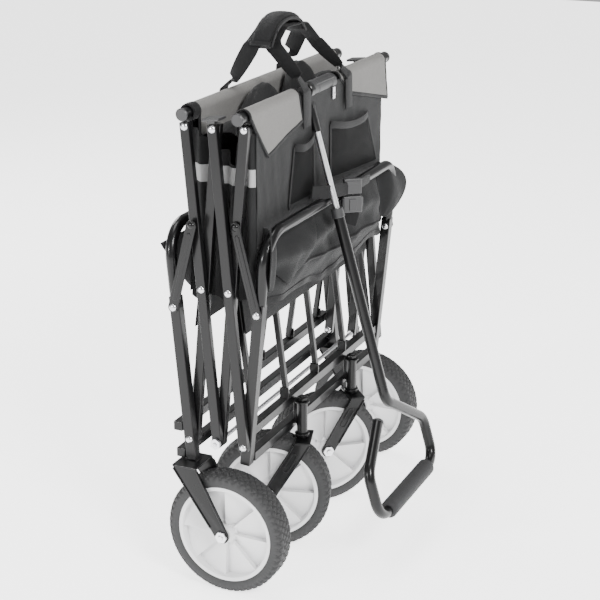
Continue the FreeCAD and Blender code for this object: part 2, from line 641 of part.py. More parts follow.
# ---------------------------------------------------------------- wheels
def make_wheel(name, centre, turn):
    """Tyre, rim hoop and ribbed disc about an axle along X, then turned and set at centre."""
    tread = cylinder(name + "_tread", "wheel_radius", "wheel_width", Vector(), ALONG_X)
    shoulders = doc.addObject("Part::Fillet", name + "_shoulders")
    shoulders.Base = tread
    rims = [index for index, edge in enumerate(tread.Shape.Edges, start=1)
            if edge.Closed and len(edge.Vertexes) == 1]
    shoulders.Edges = [(index, s.tyre_round, s.tyre_round) for index in rims]
    bore = cylinder(name + "_bore", "rim_radius + pin_clearance", "2 * wheel_width", Vector(), ALONG_X)
    tyre = cut(f"{name}_tyre", shoulders, [bore])
    rim = cut(name + "_rim",
              cylinder(name + "_rim_outside", "rim_radius", "wheel_width - 2", Vector(), ALONG_X),
              [cylinder(name + "_rim_inside", "rim_radius - rim_thick", "wheel_width", Vector(), ALONG_X)])
    web = cylinder(name + "_web", "rim_radius - rim_thick - pin_clearance", "wheel_width / 3",
                   Vector(), ALONG_X)
    boss = cylinder(name + "_boss", "boss_radius", "wheel_width + 2", Vector(), ALONG_X)
    ribs = []
    rib_count = 5
    for index in range(rib_count):
        spoke = Rotation(Vector(1, 0, 0), 180 * index / rib_count)
        ribs.append(box(f"{name}_rib", "wheel_width / 2", "4", "2 * (rim_radius - rim_thick - 2)",
                        Vector(), spoke))
    disc = fuse(name + "_disc_blank", [web, boss] + ribs)
    hole = cylinder(name + "_axle_hole", "axle_radius + pin_clearance", "2 * wheel_width", Vector(), ALONG_X)
    hub = group(f"{name}_hub", [rim, cut(name + "_disc", disc, [hole])])
    for part, kind in ((tyre, "tyre"), (hub, "hub")):
        part.Placement = Placement(centre, turn)
        node(f"{name}_{kind}", part)


def axle_bolt(name, centre, turn):
    """Axle bolt: shank through both fork arms, hexagon head and nut outside them."""
    reach = s.wheel_width / 2 + s.wheel_side_gap + s.fork_thick
    shank = cylinder(name + "_shank", "axle_radius", "wheel_width + 2 * (wheel_side_gap + fork_thick)",
                     Vector(), ALONG_X)
    ends = [hexagon(name + "_head", "axle_radius * 1.8", "bolt_head_high",
                    Vector(sign * (reach + s.bolt_head_high / 2), 0, 0), ALONG_X) for sign in (-1, 1)]
    bolt = fuse(name, [shank] + ends)
    bolt.Placement = Placement(centre, turn)
    return bolt


def fork_arms(name, top_front, top_rear, axle, middle_x):
    """Two arms either side of a wheel, drilled for the axle."""
    offset = s.wheel_width / 2 + s.wheel_side_gap + s.fork_thick / 2
    tip_radius = s.axle_radius + 5.5
    arms = []
    for sign in (-1, 1):
        arm = tapered_plate(f"{name}_arm", top_front, top_rear, axle, tip_radius, "fork_thick",
                            middle_x + sign * offset)
        arms.append(arm)
    hole = cylinder(name + "_arm_hole", "axle_radius + pin_clearance", "3 * wheel_width",
                    Vector(middle_x, *axle), ALONG_X)
    return arms, hole


def make_rear_forks():
    """Fork welded under the post: plate, and two arms that lean forward to the axle."""
    plate_deep = 38
    plate_y = post_point(1, (s.post_bottom - s.pivot_height) / math.cos(lean))[0]
    plate_middle = s.post_bottom - s.fork_thick / 2
    axle = (s.rear_axle_y, s.wheel_radius)
    forks, axles = [], []
    for side, sign in SIDES:
        name = f"rear_fork_{side}"
        x = sign * s.rear_wheel_x
        plate = box(name + "_plate", "wheel_width + 2 * (wheel_side_gap + fork_thick)", str(plate_deep),
                    "fork_thick", Vector(x, plate_y, plate_middle))
        arms, hole = fork_arms(name, (plate_y - plate_deep / 2, plate_middle),
                               (plate_y + plate_deep / 2, plate_middle), axle, x)
        forks.append(cut(name, fuse(name + "_sheet", [plate] + arms), [hole]))
        axles.append(axle_bolt(f"rear_axle_{side}", Vector(x, *axle), UPRIGHT))
        make_wheel(f"rear_wheel_{side}", Vector(x, *axle), UPRIGHT)
    node("rear_forks", group("rear_forks", forks))
    node("rear_axles", group("rear_axles", axles))


def make_casters():
    """Caster sleeve on the front cross tubes, and the fork, king pin, axle and wheel that swivel in it."""
    swivel = {"left": s.left_swivel, "right": s.right_swivel}
    washer_high = 4
    rim_high = 3
    sleeve_low, sleeve_high = s.crown_height + washer_high + tail_clearance, s.upper_cross_height - rim_high
    sleeves = []
    for side, sign in SIDES:
        spot = Vector(sign * s.caster_x, caster_y, 0)
        turn = Rotation(Vector(0, 0, 1), swivel[side])
        name = f"caster_sleeve_{side}"
        middle = spot + Vector(0, 0, (sleeve_low + sleeve_high) / 2)
        tube = cylinder(name + "_tube", "sleeve_radius", str(sleeve_high - sleeve_low), middle)
        rims = [cylinder(name + "_rim", "flange_radius", str(rim_high), spot + Vector(0, 0, z))
                for z in (sleeve_low + rim_high / 2, sleeve_high - rim_high / 2)]
        web_reach = s.caster_forward - s.cross_size / 2
        web = box(name + "_web", "sleeve_radius", "caster_forward - cross_size / 2",
                  str(sleeve_high - s.lower_cross_height),
                  spot + Vector(0, web_reach / 2, (sleeve_high + s.lower_cross_height) / 2))
        bore = cylinder(name + "_bore", "king_radius + king_play",
                        "2 * (upper_cross_height - crown_height)", middle)
        sleeves.append(cut(name, fuse(name + "_solid", [tube, web] + rims), [bore]))
        make_caster_fork(side, washer_high, sleeve_high, spot, turn)
        axle = spot + turn.multVec(Vector(0, s.caster_trail, 0)) + Vector(0, 0, s.wheel_radius)
        node(f"front_axle_{side}", axle_bolt(f"front_axle_{side}", axle, turn))
        make_wheel(f"front_wheel_{side}", axle, turn)
    node("caster_sleeves", group("caster_sleeves", sleeves))


def make_caster_fork(side, washer_high, sleeve_high, spot, turn):
    """Fork whose crown ends just in front of the tyre, with the king pin and its nut."""
    name = f"caster_fork_{side}"
    nut_high = 5
    crown_front = -15
    crown_low = s.crown_height - s.fork_thick - s.wheel_radius
    crown_rear = s.caster_trail - math.sqrt(s.wheel_radius ** 2 - crown_low ** 2) - 2 * tail_clearance
    plate_middle = s.crown_height - s.fork_thick / 2
    crown = box(name + "_crown", "wheel_width + 2 * (wheel_side_gap + fork_thick)",
                str(crown_rear - crown_front), "fork_thick",
                Vector(0, (crown_front + crown_rear) / 2, plate_middle))
    arms, hole = fork_arms(name, (crown_front, plate_middle), (crown_rear, plate_middle),
                           (s.caster_trail, s.wheel_radius), 0)
    fork = cut(name + "_drilled", fuse(name + "_sheet", [crown] + arms), [hole])
    fork.Placement = Placement(spot, turn)
    nut_low = spot + Vector(0, 0, sleeve_high + tail_clearance)
    pin = straight(f"king_pin_{side}", spot + Vector(0, 0, s.crown_height), nut_low, "king_radius")
    washer = cylinder(f"king_pin_{side}_washer", "flange_radius - 1", str(washer_high),
                      spot + Vector(0, 0, s.crown_height + washer_high / 2))
    nut = hexagon(f"king_pin_{side}_nut", "king_radius * 1.6", str(nut_high),
                  nut_low + Vector(0, 0, nut_high / 2))
    node(name, fuse(name, [fork, pin, washer, nut]))


# ---------------------------------------------------------------- handle
def handle_point(across, along):
    """Point of the closed handle: across from its tube, along it from the rail's middle."""
    leaning = math.radians(s.handle_lean)
    return Vector(s.handle_x + across, rail_axis["front"] - along * math.sin(leaning),
                  rail_height - along * math.cos(leaning))


def make_handle():
    rail_hole = "rail_radius + run_clearance"
    sleeve_start = s.handle_x + s.collar_wide / 2 + tail_clearance
    sleeve_middle = Vector(sleeve_start + s.pivot_sleeve_length / 2, rail_axis["front"], rail_height)
    sleeve = cylinder("pivot_sleeve_outside", "pivot_sleeve_radius", "pivot_sleeve_length",
                      sleeve_middle, ALONG_X)
    sleeve_bore = cylinder("pivot_sleeve_bore", rail_hole, "2 * pivot_sleeve_length",
                           sleeve_middle, ALONG_X)
    node("handle_pivot_sleeve", cut("handle_pivot_sleeve", sleeve, [sleeve_bore]))

    pivot = handle_point(0, 0)
    collar = cylinder("rod_collar", "collar_radius", "collar_wide", pivot, ALONG_X)
    rod = straight("handle_rod", pivot, handle_point(0, s.rod_end), "rod_radius")
    collar_bore = cylinder("rod_collar_bore", rail_hole, "2 * collar_wide", pivot, ALONG_X)
    node("handle_rod", cut("handle_rod", fuse("handle_rod_solid", [collar, rod]), [collar_bore]))

    loop = [(0, s.outer_tube_top), (0, s.loop_neck), (s.loop_half_wide, s.loop_shoulder),
            (s.loop_half_wide, s.loop_bar), (-s.loop_half_wide, s.loop_bar),
            (-s.loop_half_wide, s.loop_shoulder), (-s.loop_end_gap, s.loop_shoulder - 52)]
    points = [handle_point(across, along) for across, along in loop]
    bends = [s.loop_bend] * (len(loop) - 2)
    outside = bent_tube("handle_tube_outside", points, "outer_tube_radius", bends)
    rod_stop = handle_point(0, s.rod_end + 30)
    bore = straight("handle_tube_bore", points[0], rod_stop, "rod_radius + pin_clearance")
    hollow = bent_tube("handle_tube_hollow", [rod_stop] + points[1:], "outer_tube_radius - tube_wall", bends)
    node("handle_tube", cut("handle_tube", outside, [bore, hollow]))

    grip_ends = [handle_point(way * s.grip_length / 2, s.loop_bar) for way in (-1, 1)]
    foam = straight("handle_grip_foam", *grip_ends, "grip_radius")
    foam_bore = straight("handle_grip_bore", *grip_ends, "outer_tube_radius + pin_clearance")
    node("handle_grip", cut("handle_grip", foam, [foam_bore]))

    away = (points[-1] - points[-2]).normalize()
    plug_long = 4
    plug = straight("handle_end_plug", points[-1], points[-1] + away * plug_long,
                    "outer_tube_radius + tube_wall / 2")
    node("handle_end_plug", plug)


# ---------------------------------------------------------------- fabric
def plain_panel(name, low_corner, high_corner):
    """Flat sheet between two corners of its box."""
    panel = box(name, "fabric_thick", "fabric_thick", "fabric_thick", Vector())
    for edge, value in zip(("Length", "Width", "Height"), high_corner - low_corner):
        panel.setExpression(edge, None)
        setattr(panel, edge, value)
    panel.Placement.Base = low_corner
    return panel


def make_end_panels():
    """Flat panels that hang beside the rails; the front one is cut away round the collar and the rod."""
    for end, end_sign in ENDS:
        low = s.front_hem_height if end == "front" else s.rear_hem_height
        start, stop = sorted((end_sign * panel_back, end_sign * (panel_back + s.fabric_thick)))
        name = f"{end}_panel"
        panel = plain_panel(name, Vector(-s.end_panel_half, start, low),
                            Vector(s.end_panel_half, stop, rail_height))
        if end == "front":
            ease = 1.5
            left = s.handle_x - s.collar_wide / 2 - ease
            right = left + s.collar_wide + tail_clearance + s.pivot_sleeve_length + 2 * ease
            rod_low = rail_height - (panel_back + s.fabric_thick - s.fold_half_depth) / math.tan(
                math.radians(s.handle_lean)) - 2 * s.collar_radius
            collar_low = rail_height - s.collar_radius - ease
            notches = [plain_panel("collar_notch", Vector(left, start - 1, collar_low),
                                   Vector(right, stop + 1, rail_height + 1)),
                       plain_panel("rod_notch", Vector(left, start - 1, rod_low),
                                   Vector(left + s.collar_wide + 2 * ease, stop + 1, rail_height + 1))]
            panel = cut(name, panel, notches)
        node(name, panel)


def make_side_panels():
    """Side fabric beside the bars, in a front and a rear half that part when the wagon opens."""
    low = s.rear_hem_height
    high = top_pivot_height - s.rail_radius
    half_gap = 0.5
    edge = s.end_panel_half - s.fabric_thick
    for end, end_sign in ENDS:
        start, stop = sorted((end_sign * half_gap, end_sign * (panel_back - seat_gap)))
        panels = []
        for side, sign in SIDES:
            near, far = sorted((sign * edge, sign * s.end_panel_half))
            panels.append(plain_panel(f"{end}_side_panel_{side}", Vector(near, start, low),
                                      Vector(far, stop, high)))
        node(f"{end}_side_panels", group(f"{end}_side_panels", panels))


def make_floor_panels():
    """Floor fabric on the floor bars' outer faces; it ends where half-open bars pass one another."""
    rise = math.sqrt(s.floor_bar_length ** 2 - floor_half_span ** 2)
    apex = (cross_y["rear"] - floor_half_span, floor_pin_height + rise)
    share = 0.5
    apex_free = 62
    for end, end_sign in ENDS:
        foot = (cross_y[end], floor_pin_height)
        turn = tilt_of(foot, apex)
        length = s.floor_bar_length * share
        panel = box(f"{end}_floor_panel", "2 * floor_panel_half", "fabric_thick",
                    f"floor_bar_length * {share}", Vector(), turn)
        aside = end_sign * (s.floor_bar_size / 2 + seat_gap + s.fabric_thick / 2)
        along = s.floor_bar_length - length / 2 - apex_free
        middle = Vector(0, *foot) + turn.multVec(Vector(0, aside, along))
        half = Vector(s.floor_panel_half, s.fabric_thick / 2, length / 2)
        panel.Placement.Base = middle - turn.multVec(half)
        node(f"{end}_floor_panel", panel)


def make_pockets():
    """Two mesh pockets on the front panel, open at the top; a narrow and a wide one."""
    back = -panel_back - s.fabric_thick - seat_gap / 2
    front = back - s.pocket_deep
    below_rail = {"narrow": (-118, -22, 163, 83), "wide": (-2, 185, 157, 61)}
    pockets = []
    for kind, (left, right, low, high) in below_rail.items():
        bottom, top = rail_height - low, rail_height - high
        outside = plain_panel(f"{kind}_pocket_outside", Vector(left, front, bottom), Vector(right, back, top))
        inside = plain_panel(f"{kind}_pocket_inside",
                             Vector(left + s.pocket_seam, front + s.pocket_wall, bottom + s.pocket_seam),
                             Vector(right - s.pocket_seam, back + 1, top + 1))
        pockets.append(cut(f"{kind}_pocket", outside, [inside]))
    node("mesh_pockets", group("mesh_pockets", pockets))


def webbing(name, points, width_way):
    """Flat band along points; each run is a box, and the runs overlap at round joints."""
    solids = []
    for start, end in zip(points, points[1:]):
        way = (end - start).normalize()
        turn = Rotation(width_way, Vector(), way, "ZXY")
        run = box(name + "_run", "web_wide", "web_thick", "web_wide", Vector(), turn)
        run.setExpression("Height", None)
        run.Height = (end - start).Length
        run.Placement.Base = start - turn.multVec(Vector(s.web_wide, s.web_thick, 0) / 2)
        solids.append(run)
    for joint in points[1:-1]:
        solids.append(cylinder(name + "_joint", "web_thick / 2", "web_wide", joint, ALONG_X))
    return fuse(name, solids)


def make_carry_straps():
    """One loop on each rail; the loops meet at the padded wrap, where a hand takes them."""
    wrap_x = -33
    wrap_above_rail = 84
    upright_end = 12
    strap_spread = 55
    hang = {"rear": 20, "front": 30}
    feet = {"rear": (-79, 61), "front": (-79, 81)}
    top = rail_height + wrap_above_rail - seat_gap
    for end, end_sign in ENDS:
        outward = end_sign * (panel_back + s.fabric_thick + seat_gap + s.web_thick / 2)
        inward = end_sign * s.wrap_deep / 4
        legs = []
        for foot_x, head_x in zip(feet[end], (wrap_x - strap_spread, wrap_x + strap_spread)):
            route = [Vector(foot_x, outward, rail_height - hang[end]),
                     Vector(foot_x, outward, rail_height + s.rail_radius),
                     Vector(head_x, inward, top - upright_end),
                     Vector(head_x, inward, top)]
            legs.append(webbing(f"{end}_carry_leg", route, Vector(1, 0, 0)))
        node(f"{end}_carry_strap", group(f"{end}_carry_strap", legs))
    wrap = box("carry_wrap", "wrap_long", "wrap_deep", "wrap_high",
               Vector(wrap_x, 0, rail_height + wrap_above_rail + s.wrap_high / 2))
    rounded = doc.addObject("Part::Fillet", "carry_wrap_rounded")
    rounded.Base = wrap
    rounded.Edges = [(index, s.wrap_corner, s.wrap_corner) for index in edges_along_x(wrap, s.wrap_long / 2)]
    node("carry_wrap", rounded)


def make_tie_strap():
    """Strap round the bow with a side-release buckle, which ties the closed handle."""
    top_along = (s.bow_height - s.pivot_height) / math.cos(lean)
    bow_y = post_point(-1, top_along)[0]
    buckle_x = 12
    corner = 3
    centre = Vector(buckle_x, bow_y, s.bow_height)
    outside = cylinder("tie_strap_outside", "bow_radius + web_thick / 2 + run_clearance", "web_wide",
                       centre, ALONG_X)
    bore = cylinder("tie_strap_bore", "bow_radius + run_clearance", "2 * web_wide", centre, ALONG_X)
    node("tie_strap", cut("tie_strap", outside, [bore]))
    strap_front = bow_y - s.bow_radius - s.run_clearance - s.web_thick / 2
    buckle = box("tie_buckle", "buckle_wide", "buckle_deep", "buckle_high",
                 Vector(buckle_x, strap_front - seat_gap / 2 - s.buckle_deep / 2, s.bow_height))
    rounded = doc.addObject("Part::Fillet", "tie_buckle_rounded")
    rounded.Base = buckle
    rounded.Edges = [(index, corner, corner) for index in range(1, len(buckle.Shape.Edges) + 1)]
    node("tie_buckle", rounded)


# ---------------------------------------------------------------- assembly
make_bars()
make_rivets()
make_lower_pivot_rod()
make_mid_caps()
make_floor_bars()
for end_name, end_way in ENDS:
    posts = [make_post(end_name, end_way, side, sign) for side, sign in SIDES]
    node(f"{end_name}_posts", group(f"{end_name}_posts", posts))
    make_bow(end_name, end_way)
    make_cross_tubes(end_name)
make_links()
make_rails()
make_rear_forks()
make_casters()
make_handle()
make_end_panels()
make_side_panels()
make_floor_panels()
make_pockets()
make_carry_straps()
make_tie_strap()
doc.recompute()

for item in doc.Objects:
    if "Invalid" in item.State or "Error" in item.State:
        raise RuntimeError(f"{item.Name} ({item.Label}) failed: {item.State}")
for name, item in nodes.items():
    if item.Shape.isNull() or not item.Shape.isValid() or not item.Shape.Solids:
        raise RuntimeError(f"{name} has no valid solid")

# the wagon stands over the origin: the middle of its footprint, on the ground
whole = Part.makeCompound([item.Shape for item in nodes.values()]).optimalBoundingBox(False)
datum = Vector(-(whole.XMin + whole.XMax) / 2, -(whole.YMin + whole.YMax) / 2, -whole.ZMin)
os.makedirs("parts", exist_ok=True)
for name, item in nodes.items():
    item.Placement = Placement(item.Placement.Base + datum, item.Placement.Rotation)
    item.Shape.exportStep(f"parts/{name}.step")
print(len(nodes), "nodes, datum", datum, "box", whole)
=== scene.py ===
"""Looks for the folding wagon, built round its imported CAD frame.

Lengths are millimetres in the wagon's own frame: X across it, Y from front to rear with 0 half way
between its two top rails, Z up from the ground. spot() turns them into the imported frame's metres.
"""

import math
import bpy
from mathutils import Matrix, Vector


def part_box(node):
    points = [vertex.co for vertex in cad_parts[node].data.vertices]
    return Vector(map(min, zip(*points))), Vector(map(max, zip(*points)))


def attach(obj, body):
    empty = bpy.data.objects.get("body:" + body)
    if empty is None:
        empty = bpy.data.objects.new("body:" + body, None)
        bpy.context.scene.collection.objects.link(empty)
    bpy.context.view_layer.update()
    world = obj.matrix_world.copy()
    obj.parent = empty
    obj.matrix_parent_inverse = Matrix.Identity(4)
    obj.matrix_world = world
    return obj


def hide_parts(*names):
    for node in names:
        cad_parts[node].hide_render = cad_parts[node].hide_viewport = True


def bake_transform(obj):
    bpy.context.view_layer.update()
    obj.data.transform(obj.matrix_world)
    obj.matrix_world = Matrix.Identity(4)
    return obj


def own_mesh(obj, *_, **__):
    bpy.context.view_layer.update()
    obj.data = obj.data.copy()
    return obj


bl_info = {
    "name": "Folding wagon looks",
    "version": (1, 0, 0),
    "blender": (4, 5, 0),
    "location": "View3D > Sidebar > Wagon",
    "description": "Builds the fabric, tubes, wheels and stage of the folding wagon on its CAD frame",
    "category": "Object",
}

import bpy
import numpy as np
from bpy.props import FloatProperty, FloatVectorProperty, IntProperty, PointerProperty
from mathutils import Matrix, Vector

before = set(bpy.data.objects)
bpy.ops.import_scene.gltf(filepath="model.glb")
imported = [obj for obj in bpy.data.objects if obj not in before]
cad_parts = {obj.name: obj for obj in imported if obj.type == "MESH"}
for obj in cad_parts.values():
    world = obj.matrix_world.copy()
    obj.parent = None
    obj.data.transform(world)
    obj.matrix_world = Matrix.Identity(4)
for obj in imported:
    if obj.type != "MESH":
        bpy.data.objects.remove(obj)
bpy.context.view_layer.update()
MIDDLE_Y = (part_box("front_rail")[0].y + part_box("rear_rail")[1].y) / 2

MM = 0.001
X_WAY, Y_WAY, Z_WAY = Vector((1, 0, 0)), Vector((0, 1, 0)), Vector((0, 0, 1))
SIDE_TURN = Matrix(((0, 0, 1), (1, 0, 0), (0, 1, 0))).to_4x4()
SIDES = (-1, 1)
END_SIGN = {"rear": 1, "front": -1}
HALF = 41.0
PIVOT_Z = 219.0
TOP_Z = 668.13
CROSS_Z = (PIVOT_Z + TOP_Z) / 2
RAIL_Z = 685.13
OUTER_X, INNER_X = 251.0, 239.5
POST_X = {"rear": 253.5, "front": 237.5}
POST_LEAN = math.radians(5.4)
HANDLE_X = -42.0
HANDLE_LEAN = math.radians(16)
WHEEL_R, RIM_R = 90.0, 72.0
REAR_WHEEL = (257.5, -20.0)
CASTER = (95.0, -59.5)
CASTER_TRAIL = 46.0
SWIVEL = {-1: 18.0, 1: 42.0}
SIDE_NAME = {-1: "left", 1: "right"}
LINK_Y, LINK_Z = 59.54, 415.13
REAR_TUBE_Y = 58.2
FLOOR_Y, FLOOR_Z, FLOOR_LONG = 8.6, 252.0, 370.0
FLOOR_RISE = math.sqrt(FLOOR_LONG ** 2 - 49.6 ** 2)
HUB_FLOOR, HUB_RISE = 4.6, 9.6
HUB_RINGS = ((11.5, 0.55), (20.0, 0.8), (RIM_R - 6.2, 1.0))
TYRE_SHOULDER = ((-17.4, 71.8), (-18.4, 73.5), (-18.9, 77.0))
TREAD_PITCH = 13.0
PANEL_X = 227.0
# Shares of a hanging piece's height.
OPEN_HANG, OPEN_SLACK, OPEN_LOOP = 0.8, 0.35, 0.5
# Angle through which the scissor bars turn as the wagon opens.
OPEN_TURN = math.radians(46.78)
BAND_TOP = 616.0


# ---------------------------------------------------------------- sizes and colours
class WagonSizes(bpy.types.PropertyGroup):
    """Sizes of the looks that the CAD frame leaves free."""
    cloth_thick: FloatProperty(
        name="Cloth", description="Thickness of the fabric", default=0.0012, unit="LENGTH")
    web_thick: FloatProperty(
        name="Webbing", description="Thickness of the carry straps", default=0.002, unit="LENGTH")
    edge: FloatProperty(
        name="Tube edge", description="Rounding of the square tubes", default=0.0014, unit="LENGTH")
    tread_deep: FloatProperty(
        name="Tread", description="Depth of the tyre's grooves", default=0.0016, unit="LENGTH")
    tread_count: IntProperty(
        name="Tread blocks", description="Diamonds round a tyre", default=52)
    hub_sectors: IntProperty(
        name="Hub sectors", description="Slanted sectors of a hub", default=8)


class WagonColours(bpy.types.PropertyGroup):
    """Colours of the finishes."""
    paint: FloatVectorProperty(
        name="Frame paint", description="Gloss powder coat",
        default=(0.0032, 0.0032, 0.0034), subtype="COLOR")
    cloth: FloatVectorProperty(
        name="Dark cloth", description="Body fabric", default=(0.0135, 0.0137, 0.014), subtype="COLOR")
    light_cloth: FloatVectorProperty(
        name="Light cloth", description="Rail sleeves", default=(0.155, 0.152, 0.146), subtype="COLOR")
    web: FloatVectorProperty(
        name="Webbing", description="Straps and bindings", default=(0.0042, 0.0042, 0.0045), subtype="COLOR")
    rubber: FloatVectorProperty(
        name="Tyre", description="Tyre rubber", default=(0.0165, 0.0165, 0.017), subtype="COLOR")
    hub: FloatVectorProperty(
        name="Hub", description="Hub plastic", default=(0.66, 0.66, 0.665), subtype="COLOR")
    zinc: FloatVectorProperty(
        name="Zinc", description="Bolts, rivets and the inner rod",
        default=(0.74, 0.74, 0.76), subtype="COLOR")


# ---------------------------------------------------------------- places
def spot(x, y, z):
    return Vector((x * MM, MIDDLE_Y + y * MM, z * MM))


def post_spot(end, x, along, out=0.0):
    """A place on an end frame's leaning plane, along it from the corner pivot and out from it."""
    sign = END_SIGN[end]
    y = sign * (HALF + along * math.sin(POST_LEAN) + out * math.cos(POST_LEAN))
    return spot(x, y, PIVOT_Z + along * math.cos(POST_LEAN) - out * math.sin(POST_LEAN))


def handle_spot(across, along):
    """A place on the closed handle, across from its tube and along it from the rail's middle."""
    return spot(HANDLE_X + across, -HALF - along * math.sin(HANDLE_LEAN),
                RAIL_Z - along * math.cos(HANDLE_LEAN))


def ease(value, low, high):
    """Smooth step from 0 at low to 1 at high; works on numbers and arrays."""
    t = np.clip((value - low) / (high - low), 0.0, 1.0)
    return t * t * (3 - 2 * t)


def hill(a, b, start, end, wide):
    """Height 0 to 1 of a soft ridge of the given half width along a segment in the plane of a and b."""
    way = (end[0] - start[0], end[1] - start[1])
    length = way[0] ** 2 + way[1] ** 2
    t = np.clip(((a - start[0]) * way[0] + (b - start[1]) * way[1]) / max(length, 1e-9), 0, 1)
    gap = (a - start[0] - t * way[0]) ** 2 + (b - start[1] - t * way[1]) ** 2
    return np.exp(-gap / wide ** 2) * (0.35 + 0.65 * np.sin(np.pi * np.clip(t, 0.05, 0.95)))


def ripple(a, b, long, turn=0.0):
    """Slow uneven waves, the same each run."""
    k = 2 * np.pi / long
    c, s = math.cos(turn), math.sin(turn)
    p, q = a * c + b * s, -a * s + b * c
    return (np.sin(k * p + 1.3 * np.sin(0.61 * k * q)) + 0.6 * np.sin(1.7 * k * q + 0.9 * np.sin(k * p))
            + 0.35 * np.sin(2.9 * k * (0.7 * p + 0.5 * q))) / 1.95


# ---------------------------------------------------------------- mesh work
def linked(name, data):
    """New object in the scene that holds data."""
    obj = bpy.data.objects.new(name, data)
    bpy.context.collection.objects.link(obj)
    return obj


def only(*objects):
    bpy.ops.object.select_all(action="DESELECT")
    for obj in objects:
        obj.select_set(True)
    bpy.context.view_layer.objects.active = objects[0]


def settle(obj, matrix=None):
    """Puts the object's place, turn and size into its mesh."""
    if matrix is not None:
        obj.matrix_world = matrix
    only(obj)
    bpy.ops.object.transform_apply(location=True, rotation=True, scale=True)
    return obj


def press(obj):
    """Applies every modifier."""
    only(obj)
    for modifier in list(obj.modifiers):
        bpy.ops.object.modifier_apply(modifier=modifier.name)
    return obj


def round_edges(obj, wide, segments=3, angle=30):
    only(obj)
    bpy.ops.object.shade_smooth()
    bevel = obj.modifiers.new("Edges", "BEVEL")
    bevel.width = wide
    bevel.segments = segments
    bevel.limit_method = "ANGLE"
    bevel.angle_limit = math.radians(angle)
    bevel.harden_normals = True
    return press(obj)


def clean(obj, merge=None):
    """Merges corners closer than merge metres and turns every face outwards."""
    only(obj)
    bpy.ops.object.mode_set(mode="EDIT")
    bpy.ops.mesh.select_all(action="SELECT")
    if merge:
        bpy.ops.mesh.remove_doubles(threshold=merge)
    bpy.ops.mesh.normals_make_consistent(inside=False)
    bpy.ops.object.mode_set(mode="OBJECT")


def smooth(obj, angle=38):
    only(obj)
    bpy.ops.object.shade_smooth_by_angle(angle=math.radians(angle))
    return obj


def joined(name, objects):
    only(*objects)
    if len(objects) > 1:
        bpy.ops.object.join()
    obj = bpy.context.active_object
    obj.name = name
    obj.data.name = name
    return obj


def frame_of(way, side):
    """Turn whose Z runs along way and whose X is as near to side as it can be."""
    z = way.normalized()
    x = (side - z * side.dot(z)).normalized()
    return Matrix((x, z.cross(x), z)).transposed().to_4x4()


def bar(start, end, wide, deep, edge, side=X_WAY):
    """Square or flat bar from start to end, wide along side, with rounded edges. Sizes in mm."""
    bpy.ops.mesh.primitive_cube_add(size=1)
    size = Matrix.Diagonal((wide * MM, deep * MM, (end - start).length, 1))
    place = Matrix.Translation((start + end) / 2) @ frame_of(end - start, side)
    return round_edges(settle(bpy.context.active_object, place @ size), edge)


def rod(start, end, radius, edge=0.4, sides=40):
    """Round bar from start to end. Radius and edge in mm."""
    way = end - start
    bpy.ops.mesh.primitive_cylinder_add(vertices=sides, radius=radius * MM, depth=way.length)
    turn = frame_of(way, X_WAY if abs(way.x) < 1e-6 else Y_WAY)
    settle(bpy.context.active_object, Matrix.Translation((start + end) / 2) @ turn)
    return round_edges(bpy.context.active_object, edge * MM, 2, 50)


def lathe(profile, place, way, steps=64):
    """Turned piece: profile is (radius, along) in mm from place along way."""
    mesh = bpy.data.meshes.new("lathe")
    mesh.from_pydata([(r * MM, 0, a * MM) for r, a in profile],
                     [(i, i + 1) for i in range(len(profile) - 1)], [])
    obj = linked("lathe", mesh)
    screw = obj.modifiers.new("Turn", "SCREW")
    screw.steps = screw.render_steps = steps
    screw.use_merge_vertices = True
    screw.merge_threshold = 1e-6
    clean(press(obj), 0.000001)
    settle(obj, Matrix.Translation(place) @ frame_of(way, X_WAY if abs(way.x) < 0.9 else Y_WAY))
    return smooth(obj, 32)


def rounded(points, bends, parts=10):
    """Points along a line whose inner corners are arcs of the given radii in mm."""
    line = [points[0]]
    for before, corner, after, bend in zip(points, points[1:], points[2:], bends):
        a, b = (corner - before).normalized(), (after - corner).normalized()
        turn = a.angle(b)
        reach = bend * MM * math.tan(turn / 2)
        inward = (b - a * a.dot(b)).normalized()
        centre = corner - a * reach + inward * bend * MM
        for step in range(parts + 1):
            t = turn * step / parts
            line.append(centre - inward * bend * MM * math.cos(t) + a * bend * MM * math.sin(t))
    line.append(points[-1])
    return line


def circle(radius, sides=28):
    return [(radius * math.cos(2 * math.pi * i / sides), radius * math.sin(2 * math.pi * i / sides))
            for i in range(sides)]


def flat_ring(wide, thick):
    """Section of webbing: flat, with rounded selvedges."""
    w, t = wide / 2, thick / 2
    right = [(w - t + t * math.cos(a), t * math.sin(a)) for a in np.linspace(-math.pi / 2, math.pi / 2, 5)]
    return right + [(-x, -y) for x, y in right]


